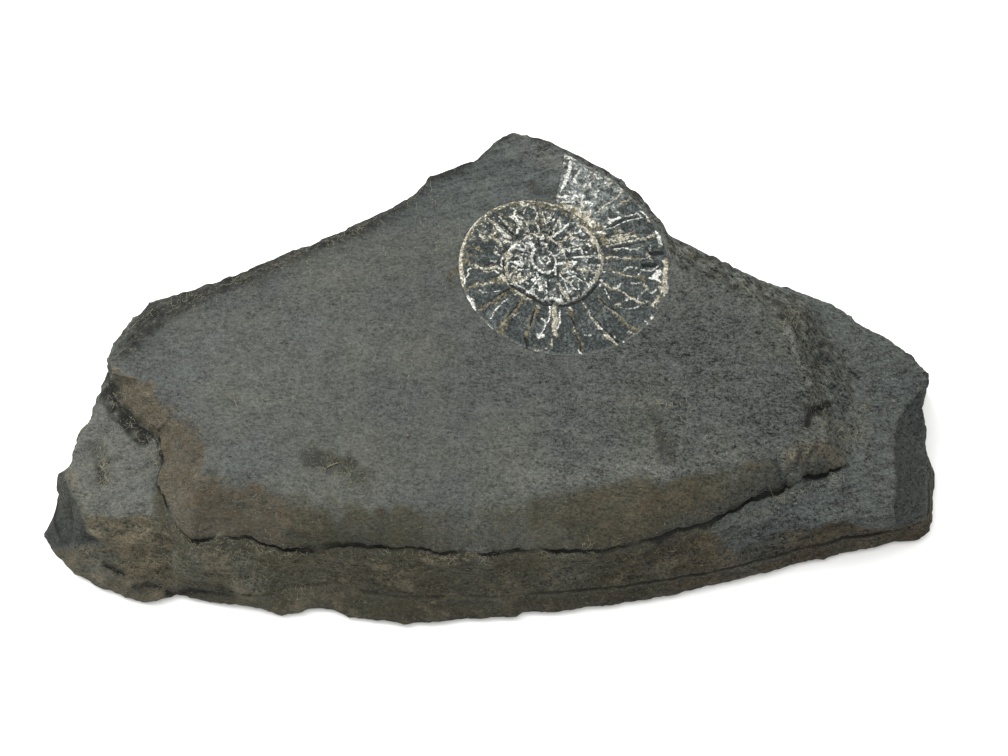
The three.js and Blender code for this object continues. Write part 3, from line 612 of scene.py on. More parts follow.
def coloured_mesh(name, vertices, faces, layers):
    """A mesh object in metres, moved over the origin, with its stains as colour layers."""
    mesh = bpy.data.meshes.new(name)
    moved = (vertices - np.array([*BOX_MIDDLE, 0])) * MM
    mesh.from_pydata(moved.tolist(), [], faces)
    mesh.shade_smooth()
    for layer, values in layers.items():
        attribute = mesh.color_attributes.new(layer, "FLOAT_COLOR", "POINT")
        rgba = np.column_stack([np.clip(values, 0, 1), np.ones(len(vertices))])[:, :4]
        attribute.data.foreach_set("color", rgba.astype(np.float32).ravel())
    mesh.validate()
    made = bpy.data.objects.new(name, mesh)
    bpy.context.scene.collection.objects.link(made)
    return made


# The sections meet along the spine, where rays of both sides share their points
ids = np.arange(len(points)).reshape(grid_shape)
_, first, same = np.unique(np.round(ray_x, 3), return_index=True, return_inverse=True)
for row in (0, -1):
    ids[row] = ids[row][first][same]
used, packed = np.unique(ids, return_inverse=True)
packed = packed.reshape(grid_shape)
slab_faces = []
for near, far in zip(packed, packed[1:]):
    ring = np.column_stack([near, np.roll(near, -1), np.roll(far, -1), far])
    slab_faces += [list(dict.fromkeys(corners)) for corners in ring.tolist()]
slab_faces = [face for face in slab_faces if len(face) > 2]
slab = coloured_mesh("mudstone_slab", points[used], slab_faces, {
    "stains": np.column_stack([iron, olive, tan])[used],
    "tones": np.column_stack([dark, pale, blue, 0.3 * rough + 0.6 * dark_break])[used],
    # khaki specks, darkening that is partly painted shade, painted shade in the gaps, and grain
    "breaks": np.column_stack([khaki, gloom + GLOOM_SHIFT, painted_gap_shade, grain])[used],
})


def colour(code):
    """A linear colour from an sRGB hex code."""
    channels = [int(code[i:i + 2], 16) / 255 for i in (1, 3, 5)]
    linear = [c / 12.92 if c <= 0.04045 else ((c + 0.055) / 1.055) ** 2.4 for c in channels]
    return (*linear, 1.0)


def feed(tree, socket, value):
    """Fills a socket with a number or a colour, or links a node or its output to it."""
    if isinstance(value, bpy.types.Node):
        value = next(output for output in value.outputs if output.enabled)
    if isinstance(value, bpy.types.NodeSocket):
        tree.links.new(value, socket)
    else:
        socket.default_value = value


def add(tree, kind, *feeds, **settings):
    """Adds a shader node. Its feeds go to its inputs in order, and its settings by name."""
    made = tree.nodes.new("ShaderNode" + kind)
    named = {name: value for name, value in settings.items() if not hasattr(made, name)}
    for name, value in settings.items():
        if name not in named:
            setattr(made, name, value)
    for socket, value in zip([socket for socket in made.inputs if socket.enabled], feeds):
        feed(tree, socket, value)
    for name, value in named.items():
        feed(tree, made.inputs[name], value)
    return made


def surface(name, piece, **constants):
    """A new material on a piece. Returns its tree, its shader and the place on the piece in mm."""
    made = bpy.data.materials.new(name)
    made.use_nodes = True
    piece.data.materials.append(made)
    shader = made.node_tree.nodes["Principled BSDF"]
    for socket, value in constants.items():
        shader.inputs[socket.replace("_", " ")].default_value = value
    place = add(made.node_tree, "TexCoord").outputs["Object"]
    return made.node_tree, shader, add(made.node_tree, "Mapping", place, Scale=(1 / MM,) * 3)


# Mudstone: clay and silt pressed to stone, split by hand along its laminae. The eye gets a dull
# blue-grey with fine paler and darker flecks, brown and olive iron stain on worn edges, and rough
# dark breaks with khaki specks. Painted shade makes the split, the cracks and the pits near black
# and darkens the end facets and the parts under and above the lip, and tiny dents are painted dark.
PORE_SHINE = 0.25  # the stone's pores swallow half of its shine
tree, stone, in_mm = surface(
    "split_mudstone", slab, IOR=1.5, Roughness=0.9, Specular_IOR_Level=PORE_SHINE)
bedded = add(tree, "Mapping", in_mm, Scale=(0.05, 0.05, 1.2))
# The clay's grain lies a little down to the right and is longer than it is wide
with_grain = add(tree, "Mapping", in_mm, vector_type="TEXTURE", Rotation=(0, 0, math.radians(-9)),
                 Scale=(1.6, 1, 1))
FLECK = 0.6  # silt flecks are finer, and are drawn as coarse as they need to be to show
MOTTLE = 2.4
CLOUD = 20
DENT = 1.1
SPECK = 0.7
STREAK = 0.9
BED_LINE = 1.1
THREAD = 2.2
THREAD_GAP = 1.3
CRUMB = 0.9
flecks = add(tree, "TexNoise", with_grain, Scale=1 / FLECK, Detail=3, Roughness=0.7)
fine_flecks = add(tree, "TexNoise", in_mm, Scale=1.9 / FLECK, Detail=2, Roughness=0.6)
mottle = add(tree, "TexNoise", with_grain, Scale=1 / MOTTLE, Detail=5, Roughness=0.65)
clouds = add(tree, "TexNoise", in_mm, Scale=1 / CLOUD, Detail=3)
beds = add(tree, "TexNoise", bedded, Scale=1, Detail=4)
dents = add(tree, "TexNoise", with_grain, Scale=1 / DENT, Detail=2)
specks = add(tree, "TexNoise", in_mm, Scale=1 / SPECK, Detail=1)
along_break = add(tree, "Mapping", in_mm, vector_type="TEXTURE",
                  Rotation=(0, 0, math.radians(-50)), Scale=(2.6, 1, 1))
break_streaks = add(tree, "TexNoise", along_break, Scale=1 / STREAK, Detail=4, Roughness=0.6)
along_bed = add(tree, "Mapping", in_mm, vector_type="TEXTURE",
                Rotation=(0, 0, math.radians(18)), Scale=(10, 1, 1))
bed_lines = add(tree, "TexNoise", along_bed, Scale=1 / BED_LINE, Detail=3, Distortion=0.3)
stains = add(tree, "SeparateColor", add(tree, "Attribute", attribute_name="stains")).outputs
tone_layer = add(tree, "Attribute", attribute_name="tones")
tones = add(tree, "SeparateColor", tone_layer).outputs
break_layer = add(tree, "Attribute", attribute_name="breaks")
breaks = add(tree, "SeparateColor", break_layer).outputs


def frayed(tree, amount, by, strength):
    """A stain's amount with the broken edges that it has on stone."""
    shifted = add(tree, "Math", by, strength, amount, operation="MULTIPLY_ADD")
    broken = add(tree, "MapRange", shifted, strength / 2 + 0.1, strength / 2 + 0.9,
                 interpolation_type="SMOOTHSTEP")
    near_it = add(tree, "MapRange", amount, 0, 0.3)
    return add(tree, "Math", broken, near_it, operation="MULTIPLY")


warm = add(tree, "MapRange", clouds, 0.35, 0.65, 0, 0.6, interpolation_type="SMOOTHSTEP")
shade = colour("#474a47")
for amount, tint in (
    (warm, "#4a4b43"),
    (tones["Blue"], "#424746"),
    (tones["Green"], "#545550"),
    (frayed(tree, stains["Green"], mottle, 0.9), "#3d3b2f"),
    (frayed(tree, stains["Blue"], mottle, 1.4), "#4f4a3e"),
    (frayed(tree, stains["Red"], mottle, 1.4), "#423a2d"),
    (frayed(tree, tones["Red"], mottle, 1.2), "#20211d"),
):
    shade = add(tree, "Mix", amount, shade, colour(tint), data_type="RGBA")
swings = 0.0
for amount, strength in (
    (clouds, 0.4), (beds, 0.3), (mottle, 1.1), (flecks, 1.8), (fine_flecks, 1.7),
):
    swing = add(tree, "Math", amount, strength, -strength / 2, operation="MULTIPLY_ADD")
    swings = add(tree, "Math", swing, swings, operation="ADD")
for streaks, strength, where in (
    (break_streaks, 3.2, tone_layer.outputs["Alpha"]), (bed_lines, 2.0, tones["Blue"]),
):
    streaky = add(tree, "Math", streaks, strength, -strength / 2, operation="MULTIPLY_ADD")
    swings = add(tree, "Math", streaky, where, swings, operation="MULTIPLY_ADD")
contrast = add(tree, "Math", break_layer.outputs["Alpha"], 0.8, 1.0, operation="MULTIPLY_ADD")
swings = add(tree, "Math", swings, contrast, 1.0, operation="MULTIPLY_ADD")
lit_share = add(tree, "Math", 1 + GLOOM_SHIFT, breaks["Green"], operation="SUBTRACT")
lightness = add(tree, "Math", swings, lit_share, operation="MULTIPLY")
shade = add(tree, "VectorMath", shade, operation="SCALE", Scale=lightness)
# Dents: small pits in the relief, painted dark as the shade in them
dent_depth_and_shade = add(tree, "MapRange", dents, 0.63, 0.76, 0, 0.32, interpolation_type="SMOOTHSTEP")
shade = add(tree, "Mix", dent_depth_and_shade, shade, colour("#222522"), data_type="RGBA")
speck_share = add(tree, "MapRange", specks, 0.7, 0.78, 0, 0.5, interpolation_type="SMOOTHSTEP")
shade = add(tree, "Mix", speck_share, shade, colour("#75735f"), data_type="RGBA")
# Lint and iron crumbs: thin curved threads, broken short, thick only on rough breaks
thread_lines = add(tree, "TexNoise", in_mm, Scale=1 / THREAD, Detail=2, Distortion=1)
thread_gaps = add(tree, "TexNoise", in_mm, Scale=1 / THREAD_GAP, Detail=2)
off_line = add(tree, "Math", add(tree, "Math", thread_lines, 0.5, operation="SUBTRACT"),
               operation="ABSOLUTE")
thread = add(tree, "MapRange", off_line, 0.022, 0.006, interpolation_type="SMOOTHSTEP")
whole = add(tree, "MapRange", thread_gaps, 0.5, 0.6, interpolation_type="SMOOTHSTEP")
crumb_noise = add(tree, "TexNoise", in_mm, Scale=1 / CRUMB, Detail=3)
crumbs = add(tree, "MapRange", crumb_noise, 0.6, 0.7, interpolation_type="SMOOTHSTEP")
lint_there = add(tree, "Math", add(tree, "Math", thread, whole, operation="MULTIPLY"), crumbs,
                 operation="MAXIMUM")
khaki_share = add(tree, "Math", breaks["Red"], lint_there, operation="MULTIPLY")
khaki_share = add(tree, "Math", khaki_share, 0.6, operation="MULTIPLY")
shade = add(tree, "Mix", khaki_share, shade, colour("#67634e"), data_type="RGBA")
# Painted shade: the split, the cracks, the pits and the notches go near black
shade = add(tree, "Mix", frayed(tree, breaks["Blue"], flecks, 2.0), shade, colour("#131411"),
            data_type="RGBA")
feed(tree, stone.inputs["Base Color"], shade)
bumps = add(tree, "Math", mottle, 1.4, add(tree, "Math", flecks, 0.7, operation="MULTIPLY"),
            operation="MULTIPLY_ADD")
bumps = add(tree, "Math", bumps, dent_depth_and_shade, operation="SUBTRACT")
STONE_RELIEF = 0.6
relief = add(tree, "Bump", Height=bumps, Strength=1.0, Distance=STONE_RELIEF * MM)
feed(tree, stone.inputs["Normal"], relief)
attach(slab, "root")
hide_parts("shale_slab")


# The ammonite: a shell of coiled whorls with straight ribs, crushed almost flat by the weight of
# the mud. What is left is a dark mould of it, with white and cream pieces of the shell itself
# and a tan crust along its seams.
RING_COLUMNS = 690
RING_ROWS = 138
SKIRT = 0.9  # the fossil goes on below the bedding plane by this much

# Every piece of the shell is a width and points along it, seen from above in millimetres from
# the hub. First the white calcite.
WHITE_SHELL = [
    (1.1, (-18.6, 8.5), (-17.6, 10.5), (-16.4, 11.9), (-15.5, 12.9)),
    (0.6, (-7.5, 14.8), (-6.9, 13.9), (-7.3, 12.5), (-6.2, 12.3), (-5, 11.6)),
    (0.9, (-7.7, 12.3), (-6.5, 11.2), (-5.6, 10.1)),
    (0.7, (-6.5, 10.3), (-6.2, 9), (-6.6, 7.9)),
    (0.4, (-4.5, 14.8), (-5, 13.4)),
    (0.4, (-2.4, 15.2), (-2, 13.9), (-1.5, 12.5), (-2.3, 11), (-1.5, 9.6), (-1.3, 8.3)),
    (0.4, (-0.4, 13.4), (0, 12.1), (0.4, 10.5)),
    (0.4, (0.6, 11.6), (1.5, 12.3), (1.3, 11.2), (2.4, 11)),
    (0.3, (1.9, 13.9), (2.2, 12.5)),
    (1.1, (-11.4, 9.2), (-10.3, 7.9), (-9.3, 6.8), (-8.4, 6.5)),
    (0.7, (-10.3, 6.1), (-9.5, 5), (-8.8, 5.2)),
    (0.3, (-11.8, 3.7), (-11.4, 3), (-11.8, 1.7), (-10.8, 1.5)),
    (0.9, (-0.8, 5.9), (-0.3, 5.7)),
    (0.9, (-3.2, 4.3), (-2.5, 2.8), (-2.9, 1.3)),
    (0.5, (-0.6, 4.3), (0.7, 4.1)),
    (1.3, (6.4, 30.3), (8, 30.1)),
    (0.9, (6.8, 28.6), (6.4, 26.1), (5.6, 23.4), (4.7, 21.1)),
    (0.3, (4, 19.9), (4.8, 21.1)),
    (0.5, (9, 26.1), (8.2, 24.7), (7.6, 23.6)),
    (0.4, (7.8, 23.4), (8, 22.4)),
    (0.4, (10.2, 26.8), (10.9, 26.2)),
    (0.6, (13.3, 23.8), (14.3, 24)),
    (0.2, (22.2, 19.3), (23.1, 17), (23.8, 15.2)),
    (0.6, (23.9, 14.1), (24.6, 13.2), (25.2, 12.1)),
    (0.7, (15.8, 10.5), (16.5, 11.4), (17.7, 11.9), (18.6, 12.2)),
    (0.3, (19.8, 12.5), (21.6, 12.9), (22.6, 13.4), (23.7, 12.5)),
    (0.3, (15.2, 9.1), (17, 9.3), (18.8, 10.4), (20.1, 11.2), (22, 11.6), (23.9, 12)),
    (0.3, (17, 2.9), (19.1, 3.2), (20.7, 2.8), (22.6, 3), (23.9, 3.7)),
    (0.7, (27.1, 8.1), (27.9, 7.2), (28.2, 5.7), (28.4, 4.3)),
    (0.4, (27.4, 7), (27.7, 5.2), (27.8, 3.9)),
    (0.6, (12.9, 8.1), (14.2, 7.9), (14.8, 7.4)),
    (0.5, (5.9, 9.9), (4.4, 8.3), (2.9, 7.2), (2.1, 6.3)),
    (0.3, (3.5, 1.1), (2, 0.9), (1.3, 1.3)),
    (0.6, (-19.7, -9.4), (-19.2, -10.2)),
    (0.4, (-17.8, -2.3), (-18.5, -2.7), (-18.3, -4), (-19.1, -5.1), (-19.2, -6.4)),
    (0.5, (-11.9, -3), (-11.2, -3.8)),
    (0.4, (-12.9, -0.4), (-12.3, -0.6), (-11.7, -0.6)),
    (1.0, (-18.3, -10.2), (-17.4, -11.3), (-17.2, -12.8), (-17, -14)),
    (0.8, (-13.5, -18), (-13, -18.8), (-13.5, -19.1)),
    (0.4, (-12.8, -19.2), (-11.9, -20.5), (-10.8, -21.5)),
    (0.3, (-8.1, -22.9), (-7, -23.8), (-6.1, -24), (-5.8, -23.1)),
    (0.3, (-9, -10.9), (-10.1, -11.9), (-11, -13), (-11.7, -13.6), (-12.3, -14.9), (-12.8, -16.1)),
    (0.2, (-15.4, -8.4), (-14.6, -9.2), (-13.9, -9.2)),
    (0.2, (-12.1, -8.9), (-11.4, -8.9), (-10.3, -8.8)),
    (0.3, (-6.6, -14.9), (-7.4, -15.7), (-7.7, -16.1)),
    (0.3, (-1, -16.3), (-0.1, -16.9), (0, -18), (-0.5, -19.4), (-1.1, -20.3), (-1.8, -21.3)),
    (0.7, (-1.9, -20.7), (-1.3, -21.3), (-0.5, -20.7)),
    (0.2, (-2.2, -20.5), (-1.6, -21.7)),
    (0.4, (1.2, -13), (1.1, -15.3), (0.8, -16.9), (0, -17.4)),
    (0.4, (3.5, -14.2), (3.3, -15.7), (3.5, -17.4), (2.7, -19)),
    (0.4, (-9.9, 1.1), (-10.5, -0.2), (-10.3, -1.7), (-9.9, -3)),
    (0.4, (-8.1, -6.6), (-7, -6.8), (-5.9, -7.7), (-4.4, -8.7), (-3, -9.8), (-1.2, -10.9)),
    (0.4, (-0.8, -11.1), (1, -11.1), (2.3, -10.9), (3.6, -11.3), (4.6, -11.9), (5.9, -11.3)),
    (0.3, (0.8, -11.7), (2.8, -12.1), (4.5, -12.1)),
    (0.7, (-8.6, 2.9), (-7.7, 3.5), (-6.9, 4.2)),
    (0.4, (-9.2, -1.2), (-8.1, -0.8), (-7, -1), (-5.5, -1)),
    (0.9, (-6.6, -1.5), (-5.9, -1.9), (-5.3, -1.5)),
    (0.5, (-7.7, -2.3), (-7.1, -2.7), (-6.6, -2.3)),
    (0.5, (-6.2, -3.2), (-5.3, -3.2)),
    (0.3, (-3.8, -3), (-3.5, -2.7)),
    (0.9, (-5.7, 2.7), (-4.9, 2.2)),
    (0.4, (-4.3, 4.4), (-3.4, 4)),
    (0.7, (-2.9, 2), (-3.2, 0.4), (-3, -1.2), (-2.1, -2.7), (-0.6, -3.8), (1, -4), (2.2, -3)),
    (0.4, (2.2, -3), (2.7, -1.4), (2.5, 0.2), (1.7, 1.5), (0.6, 2.3)),
    (0.35, (0.2, -0.4), (-0.4, 0.1), (0.1, 0.8), (1, 0.5), (1.2, -0.4), (0.6, -1.2), (-0.4, -1.4),
     (-1.2, -0.7), (-1.3, 0.4)),
    (0.5, (-1.1, -4.7), (-1.3, -5.5), (-2.2, -7), (-3.1, -8.1), (-3.2, -9.2)),
    (0.8, (-2.9, -6), (-2.6, -6)),
    (0.6, (-4.4, -7), (-4.1, -7.1)),
    (0.3, (-1.7, -7.2), (-0.4, -7.5), (0.3, -6.8), (0.1, -7.9)),
    (0.4, (-1.9, -8.5), (-1.3, -8.9)),
    (0.5, (11.6, -6.4), (10.7, -7.7), (9.7, -8.9), (8.8, -9.8), (7.5, -10.6), (6.6, -10.9)),
    (0.4, (4.8, -11.9), (5.7, -11.3), (6.6, -11.1)),
    (0.2, (25.6, 4.4), (25.5, 2.7)),
    (0.3, (18.9, -3.2), (19.3, -2.5), (20.4, -2), (21.1, -2.1)),
    (0.4, (21.9, -2.3), (22.1, -2.3)),
    (0.3, (23.1, -2.7), (24.4, -3), (25.7, -3.2), (26.6, -2.3), (27.2, -1.8)),
    (0.2, (23.1, -3), (22.3, -4.3)),
    (1.6, (26.6, -4.5), (27.4, -3.4)),
    (0.7, (25.2, -5.1), (26.5, -5.4), (27.6, -6)),
    (0.3, (29.5, -7), (29.3, -8.5), (28.3, -10)),
    (0.5, (25.4, -9.2), (26.5, -8.3)),
    (1.2, (25.4, -15.9), (25.7, -16.7)),
    (0.3, (23.5, -16.9), (24.4, -17.6)),
    (0.2, (23.2, -20.3), (22.2, -21.1), (21.1, -21.9), (20, -22.7), (18.6, -23.1), (17.7, -23.8)),
    (0.3, (18.2, -22.1), (18.6, -22.9)),
    (0.5, (12.6, -19), (13.3, -19.2)),
    (0.4, (16.3, -21.1), (16.5, -21.7)),
    (0.3, (8.9, -20.7), (9.8, -20.7), (10.5, -20.9)),
    (0.4, (7.6, -24.8), (8.3, -25.6)),
    (0.3, (17.1, -7.9), (17.8, -7), (18.6, -6.4)),
    (0.4, (13.3, -5.5), (13.8, -5.8)),
    (0.3, (13.1, -6.6), (13.2, -7.5)),
    (0.2, (14.3, -8.3), (15, -9.6), (15.3, -10.9)),
    (0.5, (13.9, -3.1), (14.3, -3.3)),
    (0.4, (16.3, -3.5), (16.7, -3.5)),
    (0.4, (19.1, -11.3), (19.5, -11.3)),
    (0.2, (17.8, -13.4), (19.4, -13.6), (21.1, -13.4), (22.2, -13)),
    (0.2, (20.6, -6.6), (22, -6.8), (23, -6.4)),
    (0.2, (24.2, -8.1), (23, -9.4), (22.1, -10.4), (21.9, -11.5)),
    (0.5, (6.1, -0.8), (7.5, -1), (6.8, -1.9)),
    (0.6, (6.6, 0.5), (8.7, 0.5), (11.2, 0.6)),
    (0.4, (6.8, 1.8), (7.4, 2.7), (8.7, 2.7), (9, 1.4)),
    (0.4, (3.6, -4.3), (4.5, -5.8), (5.4, -6.8), (5.9, -6.8)),
    (0.3, (4.7, -6.4), (5, -7.9), (5.4, -8.9)),
    (0.3, (5.3, -3.6), (6.7, -4.9), (8.2, -6), (9.2, -6.8)),
    (0.5, (6.1, -7), (6.8, -8.3), (7.4, -8.7)),
    (0.4, (9.8, -2.4), (10.1, -2.4)),
    (0.4, (-6, 1.4), (-5.3, 1.3)),
    (0.4, (-5.5, 0.4), (-5.4, -0.1)),
    (0.3, (-3.9, 6), (-3.3, 5), (-3.1, 4)),
    (0.4, (7.6, 7.2), (8.4, 7.6), (9.1, 7.8)),
    (0.3, (8.6, 5.3), (9.8, 5.3)),
    (0.4, (6.3, 4.6), (6.8, 4.1)),
    (0.4, (4.4, 2.6), (5.6, 2.9), (6.3, 3.3)),
    (0.4, (10.6, 4), (10.9, 3.3)),
    (0.3, (9.9, 1.9), (10.1, 1.6)),
    (0.4, (9.8, -0.4), (10.3, -0.6)),
    (1.0, (-6.9, -1.1), (-5.8, -1.1), (-5.5, -2)),
    (0.4, (-4.9, -3.8), (-4.6, -3.8)),
    (0.3, (-4.2, -3.8), (-4, -3.8)),
    (0.7, (-1.5, -7), (-1.1, -7.8), (-0.9, -8.8)),
    (0.4, (0.1, -6.6), (0.3, -8)),
    (0.3, (0.3, -9), (0.5, -9.9)),
    (0.6, (2.6, -1.3), (3.8, -1.5), (5, -1.2)),
    (0.4, (2.6, -2.5), (2.5, -4.4)),
    (0.5, (5.1, -3.7), (5.8, -3.9)),
    (0.4, (6.1, -3.2), (6.3, -3.6)),
    (0.3, (7.2, -3.8), (7.7, -4.1)),
    (0.3, (2.7, -6.4), (3.1, -7)),
    (0.6, (2.2, -11.1), (3.4, -11.6), (4.4, -11.9)),
    (0.7, (3.2, 18.6), (4.6, 18.2), (6, 18.6)),
    (0.6, (4.4, 16.9), (6.2, 17.1), (7.6, 16.4)),
    (0.5, (7.4, 18.8), (8.8, 18), (9.8, 18.6)),
    (0.5, (9.6, 16.6), (10.8, 17), (11.8, 16.2)),
]

